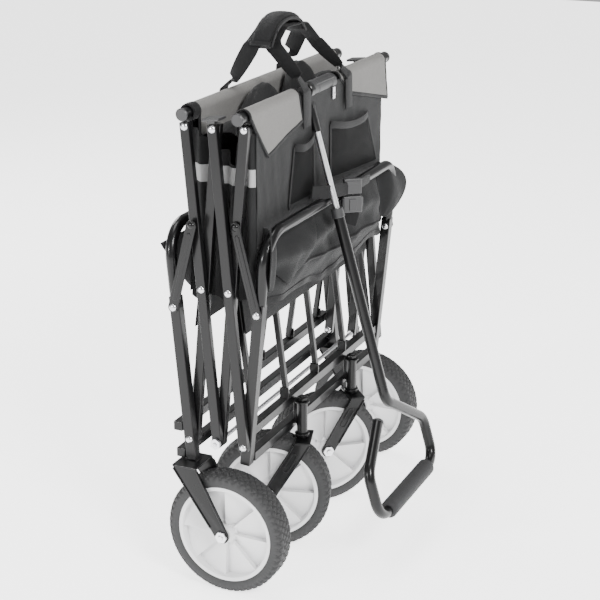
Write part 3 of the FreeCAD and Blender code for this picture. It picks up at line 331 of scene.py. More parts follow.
def sweep(line, ring, side, grow=None):
    """Solid whose section, ring in mm, follows line; side gives the section's X at each point."""
    count, around = len(line), len(ring)
    sides = side if isinstance(side, list) else [side] * count
    corners, run = [], [0.0]
    for index, point in enumerate(line):
        before, after = line[max(index - 1, 0)], line[min(index + 1, count - 1)]
        turn = frame_of(after - before, sides[index]).to_3x3()
        scale = grow[index] if grow else 1.0
        corners += [point + turn @ Vector((x * scale * MM, y * scale * MM, 0)) for x, y in ring]
        if index:
            run.append(run[-1] + (point - line[index - 1]).length)
    girth = [0.0]
    for index in range(around):
        here, there = ring[index], ring[(index + 1) % around]
        girth.append(girth[-1] + math.dist(here, there) * MM)
    faces, uvs = [], []
    for i in range(count - 1):
        for j in range(around):
            k = (j + 1) % around
            faces.append((i * around + j, i * around + k, (i + 1) * around + k, (i + 1) * around + j))
            uvs += [(run[i], girth[j]), (run[i], girth[j + 1]),
                    (run[i + 1], girth[j + 1]), (run[i + 1], girth[j])]
    for cap in (list(range(around))[::-1], [(count - 1) * around + j for j in range(around)]):
        faces.append(tuple(cap))
        uvs += [(ring[j % around][0] * MM, ring[j % around][1] * MM) for j in cap]
    mesh = bpy.data.meshes.new("sweep")
    mesh.from_pydata(corners, [], faces)
    layer = mesh.uv_layers.new(name="UVMap")
    layer.data.foreach_set("uv", np.array(uvs, np.float32).ravel())
    return smooth(linked("sweep", mesh), 40)


def tube(points, radius, bends, side, sides=28, parts=12):
    return sweep(rounded(points, bends, parts), circle(radius, sides), side)


def plate(outlines, thick, edge, matrix):
    """Flat plate from closed outlines in mm, the inner ones being holes, in the plane of matrix."""
    curve = bpy.data.curves.new("plate", "CURVE")
    curve.dimensions = "2D"
    curve.fill_mode = "BOTH"
    curve.extrude = (thick / 2 - edge) * MM
    curve.bevel_depth = edge * MM
    curve.bevel_resolution = 2
    curve.offset = -edge * MM
    for outline in outlines:
        spline = curve.splines.new("POLY")
        spline.points.add(len(outline) - 1)
        spline.use_cyclic_u = True
        for point, (x, y) in zip(spline.points, outline):
            point.co = (x * MM, y * MM, 0, 1)
    only(linked("plate", curve))
    bpy.ops.object.convert(target="MESH")
    obj = bpy.context.active_object
    clean(obj, 0.00001)
    settle(obj, matrix)
    return smooth(obj, 35)


def side_plane(x):
    """Matrix of a plane at x whose own X and Y are the wagon's Y and Z."""
    return Matrix.Translation(spot(x, 0, 0)) @ SIDE_TURN


def oblong(start, end, radius, parts=10):
    """Outline of a strip with round ends between two (y, z) places."""
    way = math.atan2(end[1] - start[1], end[0] - start[0])
    outline = []
    for centre, turn in ((end, way - math.pi / 2), (start, way + math.pi / 2)):
        for step in range(parts + 1):
            angle = turn + math.pi * step / parts
            outline.append((centre[0] + radius * math.cos(angle), centre[1] + radius * math.sin(angle)))
    return outline


FLATS, CUT_AREAS = {}, {}


def cloth(name, shape, across, down, thick):
    """Sheet of fabric: shape(u, v) gives x, y, z in mm for u and v from 0 to 1. Its UVs are metres."""
    bpy.ops.mesh.primitive_grid_add(x_subdivisions=across, y_subdivisions=down, size=1)
    obj = bpy.context.active_object
    obj.name = obj.data.name = name
    flat = np.zeros(len(obj.data.vertices) * 3)
    obj.data.vertices.foreach_get("co", flat)
    flat = flat.reshape(-1, 3)
    u, v = flat[:, 0] + 0.5, flat[:, 1] + 0.5
    placed = np.stack([np.broadcast_to(part, u.shape) for part in shape(u, v)], 1)
    placed = placed * MM + np.array([0, MIDDLE_Y, 0])
    obj.data.vertices.foreach_set("co", placed.ravel())
    order = np.lexsort((np.round(u, 6), np.round(v, 6)))
    grid = placed[order].reshape(down + 1, across + 1, 3)
    wide = float(np.linalg.norm(np.diff(grid, axis=1), axis=2).sum(1).mean())
    long = float(np.linalg.norm(np.diff(grid, axis=0), axis=2).sum(0).mean())
    cells = np.cross(np.diff(grid, axis=1)[:-1], np.diff(grid, axis=0)[:, :-1])
    CUT_AREAS[name] = float(np.linalg.norm(cells, axis=2).sum())
    layer = obj.data.uv_layers.active.data
    uvs = np.zeros(len(layer) * 2)
    layer.foreach_get("uv", uvs)
    layer.foreach_set("uv", (uvs.reshape(-1, 2) * (wide, long)).astype(np.float32).ravel())
    only(obj)
    bpy.ops.object.shade_smooth()
    solid = obj.modifiers.new("Thick", "SOLIDIFY")
    solid.thickness = thick
    solid.offset = 0
    press(obj)
    FLATS[name] = (round(wide, 4), round(long, 4))
    return smooth(obj, 60)


def along_cloth(shape, u_of, v_of, count, lift=0.0):
    """Line of count places on a sheet's shape, where u_of and v_of follow the share of the line."""
    line = []
    for t in np.linspace(0, 1, count):
        x, y, z = (float(part[0]) for part in shape(np.array([u_of(t)]), np.array([v_of(t)])))
        line.append(spot(x, y + lift, z))
    return line


def declare(obj, area=None):
    """Hands back a cloth() sheet as it is."""
    return obj


def dress(obj, body, slot, material, *replaced):
    """Finish, body and the CAD nodes that the piece stands for; slot is not used."""
    obj.data.materials.clear()
    obj.data.materials.append(material)
    if isinstance(body, str):
        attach(obj, body)
    else:
        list(body)
        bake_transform(obj)
    if replaced:
        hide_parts(*replaced)
    return obj


def ride_up(obj, end, keep=None, height=RAIL_Z):
    """Gives a hanging piece its own copy of its mesh."""
    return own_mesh(obj, "fold", axis=(0, 0, 1), anchor=spot(0, END_SIGN[end] * HALF, height),
                     keep=keep or OPEN_HANG)


def copy_of(obj, matrix):
    """A copy with its own mesh, moved by matrix."""
    twin = obj.copy()
    twin.data = obj.data.copy()
    bpy.context.collection.objects.link(twin)
    twin.data.transform(matrix)
    return twin


# ---------------------------------------------------------------- finishes
class Value:
    """A number in a shader, with Python's arithmetic."""

    def __init__(self, shade, socket):
        self.shade = shade
        self.socket = socket

    def math(self, kind, *others):
        return self.shade.math(kind, self, *others)

    def __add__(self, other):
        return self.math("ADD", other)

    __radd__ = __add__

    def __sub__(self, other):
        return self.math("SUBTRACT", other)

    def __rsub__(self, other):
        return self.shade.math("SUBTRACT", other, self)

    def __mul__(self, other):
        return self.math("MULTIPLY", other)

    __rmul__ = __mul__

    def __abs__(self):
        return self.math("ABSOLUTE")


class Shade:
    """One material and its Principled surface."""

    def __init__(self, name):
        self.material = bpy.data.materials.new(name)
        self.material.use_nodes = True
        self.nodes = self.material.node_tree.nodes
        self.links = self.material.node_tree.links
        self.nodes.clear()
        self.surface = self.nodes.new("ShaderNodeBsdfPrincipled")
        output = self.nodes.new("ShaderNodeOutputMaterial")
        self.links.new(self.surface.outputs[0], output.inputs["Surface"])

    def node(self, kind, settings, inputs):
        made = self.nodes.new(kind)
        for key, value in settings.items():
            setattr(made, key, value)
        for key, value in inputs.items():
            self.feed(made.inputs[key], value)
        return made

    def feed(self, socket, value):
        if isinstance(value, Value):
            self.links.new(value.socket, socket)
        elif isinstance(value, bpy.types.NodeSocket):
            self.links.new(value, socket)
        else:
            socket.default_value = value

    def math(self, kind, *values):
        made = self.node("ShaderNodeMath", {"operation": kind}, dict(enumerate(values)))
        return Value(self, made.outputs[0])

    def place(self, kind="Object"):
        return self.node("ShaderNodeTexCoord", {}, {}).outputs[kind]

    def parts(self, vector):
        split = self.node("ShaderNodeSeparateXYZ", {}, {0: vector})
        return [Value(self, out) for out in split.outputs]

    def noise(self, vector, scale, detail=2.0, rough=0.5):
        made = self.node("ShaderNodeTexNoise", {}, {"Vector": vector, "Scale": scale, "Detail": detail,
                                                    "Roughness": rough})
        return Value(self, made.outputs[0])

    def mix(self, factor, low, high):
        made = self.node("ShaderNodeMix", {"data_type": "RGBA"}, {0: factor})
        self.feed(made.inputs[6], low)
        self.feed(made.inputs[7], high)
        return made.outputs[2]

    def bump(self, height, deep):
        made = self.node("ShaderNodeBump", {}, {"Height": height, "Strength": 1.0, "Distance": deep})
        self.links.new(made.outputs[0], self.surface.inputs["Normal"])

    def set(self, **inputs):
        for key, value in inputs.items():
            self.feed(self.surface.inputs[key.replace("_", " ")], value)
        return self


def rgba(colour, factor=1.0):
    return (*(min(part * factor, 1.0) for part in colour), 1.0)


def painted(name, colour):
    """Gloss powder coat with a faint orange peel."""
    shade = Shade(name)
    grain = shade.noise(shade.place(), 420.0, 2.0)
    wear = shade.noise(shade.place(), 18.0, 3.0)
    shade.bump(grain, 0.00012)
    shade.set(Base_Color=shade.mix(wear, rgba(colour, 0.85), rgba(colour, 1.35)),
              Roughness=0.24 + 0.1 * wear, Specular_IOR_Level=0.22, Coat_Weight=0.14, Coat_Roughness=0.05)
    return shade.material


def bright_metal(name, colour, rough=0.26):
    shade = Shade(name)
    grain = shade.noise(shade.place(), 260.0, 3.0)
    shade.bump(grain, 0.00008)
    shade.set(Base_Color=shade.mix(grain, rgba(colour, 0.9), rgba(colour, 1.08)), Metallic=1.0,
              Roughness=rough + 0.16 * grain)
    return shade.material


def moulded(name, colour, rough, grain_size=700.0, deep=0.00006):
    """Moulded plastic or foam with a fine grain."""
    shade = Shade(name)
    grain = shade.noise(shade.place(), grain_size, 2.0)
    cloud = shade.noise(shade.place(), 14.0, 2.0)
    shade.bump(grain, deep)
    shade.set(Base_Color=shade.mix(cloud, rgba(colour, 0.92), rgba(colour, 1.08)),
              Roughness=rough + 0.1 * (grain - 0.5))
    return shade.material


def woven(name, colour, pitch, rough, deep=0.00022, lift=1.35, kind="UV"):
    """Plain weave whose threads are pitch metres apart, heathered by slow noise."""
    shade = Shade(name)
    u, v, w = shade.parts(shade.place(kind))
    if kind != "UV":
        u, v = u + 0.6 * v, w + 0.35 * v
    k = 2 * math.pi / pitch
    warp, weft = shade.math("SINE", u * k), shade.math("SINE", v * k)
    height = 0.5 + 0.5 * (warp * weft)
    heather = shade.noise(shade.place(), 260.0, 3.0)
    cloud = shade.noise(shade.place(), 9.0, 2.0)
    tone = 0.45 * height + 0.35 * heather + 0.2 * cloud
    shade.bump(0.7 * height + 0.3 * heather, deep)
    shade.set(Base_Color=shade.mix(tone, rgba(colour, 0.62), rgba(colour, lift)), Roughness=rough,
              Specular_IOR_Level=0.15, Sheen_Weight=0.06, Sheen_Roughness=0.5)
    return shade.material


def netting(name, colour, pitch):
    """Open mesh: holes between crossing threads."""
    shade = Shade(name)
    u, v = shade.parts(shade.place("UV"))[:2]
    k = math.pi / pitch
    threads = [shade.math("LESS_THAN", abs(shade.math("SINE", run * k)), 0.36) for run in (u + v, u - v)]
    thread = shade.math("MAXIMUM", *threads)
    shade.bump(thread, 0.0002)
    shade.set(Base_Color=rgba(colour), Roughness=0.7, Specular_IOR_Level=0.12, Alpha=thread)
    return shade.material


def make_finishes(colours):
    return {
        "paint": painted("gloss_black", colours.paint),
        "zinc": bright_metal("zinc", colours.zinc),
        "plastic": moulded("black_plastic", (0.022, 0.022, 0.023), 0.42),
        "sleeve": moulded("grey_plastic", (0.030, 0.030, 0.031), 0.5),
        "foam": moulded("grip_foam", (0.017, 0.017, 0.018), 0.8, 1400.0, 0.0003),
        "rubber": moulded("tyre_rubber", colours.rubber, 0.68, 900.0, 0.00012),
        "hub": moulded("hub_plastic", colours.hub, 0.36, 500.0, 0.00004),
        "cloth": woven("dark_cloth", colours.cloth, 0.0011, 0.82),
        "light": woven("light_cloth", colours.light_cloth, 0.0011, 0.8, lift=1.25),
        "net": netting("mesh_cloth", colours.web, 0.0042),
        "web": woven("webbing", colours.web, 0.0021, 0.66, 0.0004, 1.7),
        "pad": woven("pad_cloth", colours.web, 0.0016, 0.72, 0.0003, 1.8, "Object"),
        "band": woven("reflective_band", (0.36, 0.36, 0.36), 0.0008, 0.45, 0.00008, 1.15),
        "steel": bright_metal("bright_steel", (0.62, 0.62, 0.64), 0.2),
    }


# ---------------------------------------------------------------- frame
def build_bars(sizes, look):
    """Scissor bars, posts, cross tubes and floor bars as square tubes with rounded edges."""
    tail = 5.6 * MM
    places = {
        "rear_inner_bars": ("rear_inner_arms", INNER_X, HALF, 0),
        "rear_outer_bars": ("rear_outer_arms", OUTER_X, 0, HALF),
        "front_outer_bars": ("front_outer_arms", OUTER_X, -HALF, 0),
        "front_inner_bars": ("front_inner_arms", INNER_X, 0, -HALF),
    }
    for node, (body, x, foot_y, top_y) in places.items():
        bars = []
        for sign in SIDES:
            foot, top = spot(sign * x, foot_y, PIVOT_Z), spot(sign * x, top_y, TOP_Z)
            way = (top - foot).normalized() * tail
            bars.append(bar(foot - way, top + way, 10, 14, sizes.edge))
        dress(joined(node + "_look", bars), body, "frame_paint", look["paint"], node)
    for end in END_SIGN:
        posts = []
        for sign in SIDES:
            x = sign * POST_X[end]
            posts.append(bar(post_spot(end, x, -31.1), post_spot(end, x, 211), 15, 15, sizes.edge))
        dress(joined(f"{end}_posts_look", posts), f"{end}_frame", "frame_paint", look["paint"],
              f"{end}_posts")
        reach = {"rear": 261.0, "front": 230.0}[end]
        tubes = []
        for z, rear_y in ((237.0, REAR_TUBE_Y), (197.0, 54.4)):
            y = -HALF if end == "front" else rear_y
            tubes.append(bar(spot(-reach, y, z), spot(reach, y, z), 14, 14, sizes.edge, Y_WAY))
        sign = END_SIGN[end]
        foot_y = REAR_TUBE_Y if end == "rear" else -HALF
        for step in range(-2, 3):
            x = 108 * step + sign * 8.0
            x += sign * 1.5
            tubes.append(bar(spot(x, foot_y, 243), spot(x, foot_y, 259), 3, 14, 0.0008))
        dress(joined(f"{end}_cross_tubes_look", tubes), f"{end}_frame", "frame_paint", look["paint"],
              f"{end}_cross_tubes")
        apex, foot = spot(0, FLOOR_Y, FLOOR_Z + FLOOR_RISE), spot(0, foot_y, FLOOR_Z)
        way = (apex - foot).normalized() * 6 * MM
        floor_bars = []
        for step in range(-2, 3):
            aside = Vector(((108 * step + sign * 4.5) * MM, 0, 0))
            floor_bars.append(bar(foot - way + aside, apex + way + aside, 8, 8, 0.001))
        dress(joined(f"{end}_floor_bars_look", floor_bars), f"{end}_floor", "frame_paint", look["paint"],
              f"{end}_floor_bars")


def build_bows(look):
    for end in END_SIGN:
        x = POST_X[end]
        along = (525 - PIVOT_Z) / math.cos(POST_LEAN)
        corners = [post_spot(end, -x, 208), post_spot(end, -x, along), post_spot(end, x, along),
                   post_spot(end, x, 208)]
        normal = post_spot(end, 0, 0, 1) - post_spot(end, 0, 0, 0)
        bow = tube(corners, 8, [45, 45], normal, 32, 16)
        dress(joined(f"{end}_bow_look", [bow]), f"{end}_frame", "frame_paint", look["paint"], f"{end}_bow")


def dome_pin(x0, x1, y, z, head=5.2, high=2.4, shank=3.0):
    """Rivet along X with domed heads beyond x0 and x1."""
    profile = [(0, -high), (head * 0.5, -high * 0.86), (head * 0.85, -high * 0.5), (head, 0), (shank, 0.01)]
    long = abs(x1 - x0)
    profile += [(radius, long - along) for radius, along in reversed(profile)]
    return lathe(profile, spot(x0, y, z), X_WAY * (1 if x1 > x0 else -1), 24)


def build_rivets(look):
    places = {
        "rear_frame_rivets": ("rear_frame", [(234.5, 261.0, HALF, PIVOT_Z), (246.0, 265.5, LINK_Y, LINK_Z)]),
        "rear_inner_rivets": ("rear_inner_arms", [(234.5, 256.0, HALF / 2, CROSS_Z),
                                                  (234.5, 256.0, 0, TOP_Z)]),
        "rear_top_rivets": ("rear_outer_arms", [(242.5, 256.0, HALF, TOP_Z)]),
        "front_outer_rivets": ("front_outer_arms", [(234.5, 256.0, -HALF / 2, CROSS_Z),
                                                    (230.0, 256.0, -HALF, PIVOT_Z)]),
        "front_frame_rivets": ("front_frame", [(230.0, 249.5, -LINK_Y, LINK_Z)]),
        "front_top_rivets": ("front_inner_arms", [(231.0, 244.5, -HALF, TOP_Z)]),
    }
    for node, (body, spots) in places.items():
        pins = [dome_pin(sign * x0, sign * x1, y, z) for x0, x1, y, z in spots for sign in SIDES]
        dress(joined(node + "_look", pins), body, "zinc_steel", look["steel"], node)
    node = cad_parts["lower_pivot_rod"]
    node.data.materials.clear()
    node.data.materials.append(look["zinc"])
    washers = [lathe([(3.2, 0), (7.4, 0), (7.4, 1.2), (3.2, 1.2)], spot(sign * 256.0, 0, PIVOT_Z),
                     X_WAY * sign, 32) for sign in SIDES]
    tips = [lathe([(0, 2.2), (2.4, 1.6), (3.2, 0.2), (3.2, -1)], spot(sign * 260.3, 0, PIVOT_Z),
                  X_WAY * sign, 20) for sign in SIDES]
    dress(joined("lower_pivot_washers", washers + tips), "rear_outer_arms", "zinc_steel", look["steel"])


def build_links(look):
    """Stamped links with a raised rib along the middle."""
    for end, sign_y in END_SIGN.items():
        low, high = (sign_y * LINK_Y, LINK_Z), (sign_y * 28.9, 535.6)
        x = 263.75 if end == "rear" else 247.75
        strips = []
        for sign in SIDES:
            strips.append(plate([oblong(low, high, 7.5)], 2.2, 0.8, side_plane(sign * x)))
            way = (high[0] - low[0], high[1] - low[1])
            inner = [(low[0] + way[0] * t, low[1] + way[1] * t) for t in (0.11, 0.89)]
            strips.append(plate([oblong(*inner, 3.4)], 3.6, 1.2, side_plane(sign * x)))
            strips.append(dome_pin(sign * (x - 2), sign * (x + 1.2), *high))
        dress(joined(f"{end}_links_look", strips), f"{end}_links", "frame_paint", look["paint"],
              f"{end}_links")


def build_rails(look):
    for end, sign_y in END_SIGN.items():
        y = sign_y * HALF
        pieces = [rod(spot(-260, y, RAIL_Z), spot(260, y, RAIL_Z), 8, 0.5)]
        face = 246.0 if end == "rear" else 234.5
        for sign in SIDES:
            pieces.append(plate([[(y - 7, 661), (y + 7, 661), (y + 7, 680), (y - 7, 680)]], 3, 0.6,
                                side_plane(sign * (face - 2))))
        dress(joined(f"{end}_rail_look", pieces), f"{end}_rail", "frame_paint", look["paint"], f"{end}_rail")
        plugs = [lathe([(7, -2), (8.8, -0.2), (8.8, 1.8), (7.6, 3.0), (3, 3.3), (0, 3.3)],
                       spot(sign * 260, y, RAIL_Z), X_WAY * sign, 36) for sign in SIDES]
        dress(joined(f"{end}_rail_plugs_look", plugs), f"{end}_rail", "black_plastic", look["plastic"],
              f"{end}_rail_plugs")
    caps = []
    for sign in SIDES:
        lean = math.atan2(HALF, TOP_Z - PIVOT_Z)
        up = Vector((0, math.sin(lean), math.cos(lean)))
        base = spot(sign * 246, 0, TOP_Z) + up * 10.8 * MM
        caps.append(bar(base, base + up * 3.6 * MM, 24, 25, 0.0013))
        stem = spot(sign * 251, 0, TOP_Z) + up * 7.2 * MM
        caps.append(bar(stem, stem + up * 4.5 * MM, 10, 11, 0.0006))
    dress(joined("mid_caps_look", caps), "front_outer_arms", "black_plastic", look["plastic"], "mid_caps")


# ---------------------------------------------------------------- wheels and forks
def tyre_mesh(sizes):
    """Tyre about X at the origin: a rounded section with crossing grooves that run over the shoulders."""
    bend, flat = 7.5, 11.5
    corner = [(-flat + bend * math.cos(angle), WHEEL_R - bend + bend * math.sin(angle))
              for angle in np.radians(np.linspace(180, 90, 9))]
    crown = [(x, WHEEL_R - 0.25 * (x / 10) ** 2) for x in np.linspace(-10, 10, 21)]
    half = list(TYRE_SHOULDER) + corner
    section = np.array(half + crown + [(-x, r) for x, r in reversed(half)])
    run = np.concatenate([[0], np.cumsum(np.linalg.norm(np.diff(section, axis=0), axis=1))])
    middle = run[-1] / 2
    around = 8 * sizes.tread_count
    angles = np.linspace(0, 2 * math.pi, around, endpoint=False)
    phase = angles[:, None] * sizes.tread_count
    across = (run[None, :] - middle) / TREAD_PITCH * 2 * math.pi
    lines = np.minimum(np.abs(np.sin((phase + across) / 2)), np.abs(np.sin((phase - across) / 2)))
    inside = 1 - ease(np.abs(run - middle), 21.0, 24.0)
    deep = sizes.tread_deep / MM * (1 - ease(lines, 0.16, 0.42)) * inside[None, :]
    tilt = np.clip((np.abs(section[:, 0]) - flat) / bend, 0, 1)
    r = section[:, 1][None, :] - deep * np.sqrt(1 - tilt ** 2)
    x = section[:, 0][None, :] - np.sign(section[:, 0])[None, :] * deep * tilt
    co = np.stack([x, r * np.sin(angles)[:, None], r * np.cos(angles)[:, None]], 2).reshape(-1, 3) * MM
    count = len(section)
    i, j = np.meshgrid(np.arange(around), np.arange(count), indexing="ij")
    following, beside = (i + 1) % around, (j + 1) % count
    ring, next_ring = i * count, following * count
    faces = np.stack([ring + j, ring + beside, next_ring + beside, next_ring + j], 2).reshape(-1, 4)
    mesh = bpy.data.meshes.new("tyre")
    mesh.from_pydata(co.tolist(), [], faces.tolist())
    obj = linked("tyre", mesh)
    clean(obj)
    return smooth(obj, 42)


def hub_mesh(sizes):
    """Hub about X at the origin: lipped rim, slanted sectors on both faces and a boss."""
    pieces = []
    rim = [(RIM_R - 7, -12), (RIM_R - 5.4, -17.4), (RIM_R - 4.2, -18), (RIM_R - 0.3, -18), (RIM_R, -17.6),
           (RIM_R, 17.6), (RIM_R - 0.3, 18), (RIM_R - 4.2, 18), (RIM_R - 5.4, 17.4), (RIM_R - 7, 12)]
    pieces.append(lathe(rim + rim[:1], Vector(), X_WAY, 96))
    boss = [(5.2, -19.5), (10.6, -19.5), (12, -18.4), (12.8, -9), (16, -7), (16, 7), (12.8, 9), (12, 18.4),
            (10.6, 19.5), (5.2, 19.5)]
    pieces.append(lathe(boss + boss[:1], Vector(), X_WAY, 48))
    corners, faces = [], []
    step = 2 * math.pi / sizes.hub_sectors
    columns = 4
    for face in (-1, 1):
        for sector in range(sizes.hub_sectors):
            first = len(corners)
            for column in range(columns + 1):
                angle = step * (sector + column / columns)
                rise = HUB_FLOOR + HUB_RISE * column / columns
                for r, part in HUB_RINGS:
                    high = HUB_FLOOR + (rise - HUB_FLOOR) * part
                    corners.append((face * high * MM, r * math.sin(angle) * MM, r * math.cos(angle) * MM))
            for column in range(columns):
                for ring in range(2):
                    a = first + 3 * column + ring
                    faces.append((a, a + 1, a + 4, a + 3))
            wall = len(corners)
            angle = step * (sector + 1)
            for r, _ in HUB_RINGS:
                corners.append((face * HUB_FLOOR * MM, r * math.sin(angle) * MM, r * math.cos(angle) * MM))
            last = first + 3 * columns
            for ring in range(2):
                faces.append((last + ring, last + ring + 1, wall + ring + 1, wall + ring))
    mesh = bpy.data.meshes.new("sectors")
    mesh.from_pydata(corners, [], faces)
    obj = linked("sectors", mesh)
    clean(obj, 0.00001)
    solid = obj.modifiers.new("Thick", "SOLIDIFY")
    solid.thickness = 0.0024
    solid.offset = -1
    press(obj)
    pieces.append(smooth(obj, 12))
    return joined("hub", pieces)


def axle_bolt_mesh():
    """Axle bolt about X at the origin: hexagon heads, washers and domed ends."""
    pieces = [rod(Vector((-0.026, 0, 0)), Vector((0.026, 0, 0)), 5)]
    for sign in SIDES:
        bpy.ops.mesh.primitive_cylinder_add(vertices=6, radius=0.009, depth=0.0034)
        head = settle(bpy.context.active_object,
                      Matrix.Translation((sign * 0.02732, 0, 0)) @ Matrix.Rotation(math.pi / 2, 4, "Y"))
        pieces.append(round_edges(head, 0.0006, 2, 50))
        pieces.append(lathe([(0, 4.2), (3.2, 3.4), (4.6, 1.2), (4.8, 0)], Vector((sign * 0.0275, 0, 0)),
                            X_WAY * sign, 24))
    return joined("axle_bolt", pieces)


def wheel_spots():
    """Where each wheel's own axes stand, by the name of its body."""
    spots = {}
    for sign in SIDES:
        axle = spot(sign * REAR_WHEEL[0], REAR_WHEEL[1], WHEEL_R)
        spots[f"rear_wheel_{SIDE_NAME[sign]}"] = Matrix.Translation(axle)
        turn = Matrix.Rotation(math.radians(SWIVEL[sign]), 4, "Z")
        pin = spot(sign * CASTER[0], CASTER[1], 0)
        away = turn @ Vector((0, CASTER_TRAIL * MM, WHEEL_R * MM))
        spots[f"front_wheel_{SIDE_NAME[sign]}"] = Matrix.Translation(pin + away) @ turn
    return spots


def build_wheels(sizes, look):
    tyre, hub, bolt = tyre_mesh(sizes), hub_mesh(sizes), axle_bolt_mesh()
    rear_bolts = []
    for name, matrix in wheel_spots().items():
        made = copy_of(tyre, matrix)
        dress(joined(name + "_tyre_look", [made]), name, "tyre_rubber", look["rubber"], name + "_tyre")
        made = copy_of(hub, matrix)
        dress(joined(name + "_hub_look", [made]), name, "hub_plastic", look["hub"], name + "_hub")
        made = copy_of(bolt, matrix)
        if name.startswith("rear"):
            rear_bolts.append(made)
        else:
            side = name.rsplit("_", 1)[1]
            dress(joined(f"front_axle_{side}_look", [made]), f"caster_{side}", "zinc_steel", look["zinc"],
                  f"front_axle_{side}")
    dress(joined("rear_axles_look", rear_bolts), "rear_frame", "zinc_steel", look["zinc"], "rear_axles")
    for blank in (tyre, hub, bolt):
        bpy.data.objects.remove(blank)


def arm_outline(front, rear, tip, radius, parts=12):
    """Outline of a fork arm from its top edge, front to rear, down round its tip."""
    touches = []
    for corner, hand in ((front, -1), (rear, 1)):
        reach = np.array(corner) - np.array(tip)
        touches.append(math.atan2(reach[1], reach[0]) - math.acos(radius / np.linalg.norm(reach)) * hand)
    angles = np.linspace(touches[1], touches[0] - 2 * math.pi, parts)
    return [front, rear] + [(tip[0] + radius * math.cos(a), tip[1] + radius * math.sin(a)) for a in angles]


def fork_pieces(front, rear, tip, slotted):
    """Two flanged arms on either side of X = 0, in the Y-Z plane."""
    pieces = []
    hole = [(tip[0] + y, tip[1] + z) for y, z in circle(5.1, 19)]
    outlines = [arm_outline(front, rear, tip, 10.5), hole]
    middle = np.array([(front[0] + rear[0]) / 2, front[1]])
    way = np.array(tip) - middle
    slot = tuple(middle + way * 0.24), tuple(middle + way * 0.5)
    for sign in SIDES:
        plane = Matrix.Translation((sign * 23.75 * MM, 0, 0)) @ SIDE_TURN
        pieces.append(plate(outlines, 3.2, 0.9, plane))
        if slotted:
            rim = Matrix.Translation((sign * 25.5 * MM, 0, 0)) @ SIDE_TURN
            pieces.append(plate([oblong(*slot, 5.0), oblong(*slot, 3.0)], 1.6, 0.6, rim))
        for corner, share in ((front, -1), (rear, 1)):
            a, b = Vector((sign * 24.6, *corner)), Vector((sign * 24.6, *tip))
            way = (b - a).normalized()
            pieces.append(bar((a + way * 3 - Z_WAY) * MM, (b - way * 14 + Y_WAY * share * 9.2) * MM,
                              4.6, 2.4, 0.0007))
    return pieces


def build_forks(look):
    plate_y = HALF - (PIVOT_Z - 188) * math.tan(POST_LEAN)
    forks = []
    for sign in SIDES:
        base = Matrix.Translation(spot(sign * REAR_WHEEL[0], 0, 0))
        pieces = fork_pieces((plate_y - 19, 186.2), (plate_y + 19, 186.2), (REAR_WHEEL[1], WHEEL_R), False)
        for piece in pieces:
            piece.data.transform(base)
        middle = spot(sign * REAR_WHEEL[0], plate_y, 186.2)
        crown = bar(middle - X_WAY * 25.5 * MM, middle + X_WAY * 25.5 * MM, 38, 3.5, 0.0012, Y_WAY)
        forks += pieces + [crown]
        for corner in SIDES:
            bead = spot(sign * POST_X["rear"], plate_y + corner * 8.2, 188.6)
            forks.append(rod(bead - X_WAY * 7 * MM, bead + X_WAY * 7 * MM, 1.6, 0.6, 16))
    dress(joined("rear_forks_look", forks), "rear_frame", "frame_paint", look["paint"], "rear_forks")
    sleeves = []
    for sign in SIDES:
        side = SIDE_NAME[sign]
        pin = spot(sign * CASTER[0], CASTER[1], 0)
        turn = Matrix.Rotation(math.radians(SWIVEL[sign]), 4, "Z")
        rear = CASTER_TRAIL - math.sqrt(WHEEL_R ** 2 - (176 - 3.5 - WHEEL_R) ** 2) - 1
        pieces = fork_pieces((-15, 174.2), (rear, 174.2), (CASTER_TRAIL, WHEEL_R), True)
        middle = Vector((0, (rear - 15) / 2 * MM, 0.17425))
        pieces.append(bar(middle - X_WAY * 25.5 * MM, middle + X_WAY * 25.5 * MM, rear + 15, 3.5, 0.0012,
                          Y_WAY))
        pieces.append(lathe([(0, 176), (10, 176), (10.6, 177), (10.6, 179), (9.6, 180), (5, 180)], Vector(),
                            Z_WAY, 32))
        for piece in pieces:
            piece.data.transform(Matrix.Translation(pin) @ turn)
        bpy.ops.mesh.primitive_cylinder_add(vertices=6, radius=0.008, depth=0.005)
        nut = settle(bpy.context.active_object, Matrix.Translation(pin + Vector((0, 0, 0.237))))
        pieces.append(round_edges(nut, 0.0006, 2, 50))
        pieces.append(rod(pin + Vector((0, 0, 0.17)), pin + Vector((0, 0, 0.2415)), 4.6))
        dress(joined(f"caster_fork_{side}_look", pieces), f"caster_{side}", "frame_paint", look["paint"],
              f"caster_fork_{side}")
        profile = [(5.4, 180.6), (10.2, 180.6), (11, 181.2), (11, 182.8), (10.2, 183.5), (8, 184.2), (8, 230),
                   (10.2, 231), (11, 231.7), (11, 233.3), (10.2, 234), (5.4, 234)]
        sleeves.append(lathe(profile, pin, Z_WAY, 40))
        web = spot(sign * CASTER[0], CASTER[1] + 6.2, 0)
        sleeves.append(bar(web + Z_WAY * 0.197, web + Z_WAY * 0.234, 8, 12, 0.0008))
        for z in (199.0, 233.0):
            bead = spot(sign * CASTER[0], CASTER[1] + 10.6, z)
            sleeves.append(rod(bead - X_WAY * 6.4 * MM, bead + X_WAY * 6.4 * MM, 1.8, 0.7, 16))
    dress(joined("caster_sleeves_look", sleeves), "front_frame", "frame_paint", look["paint"],
          "caster_sleeves")


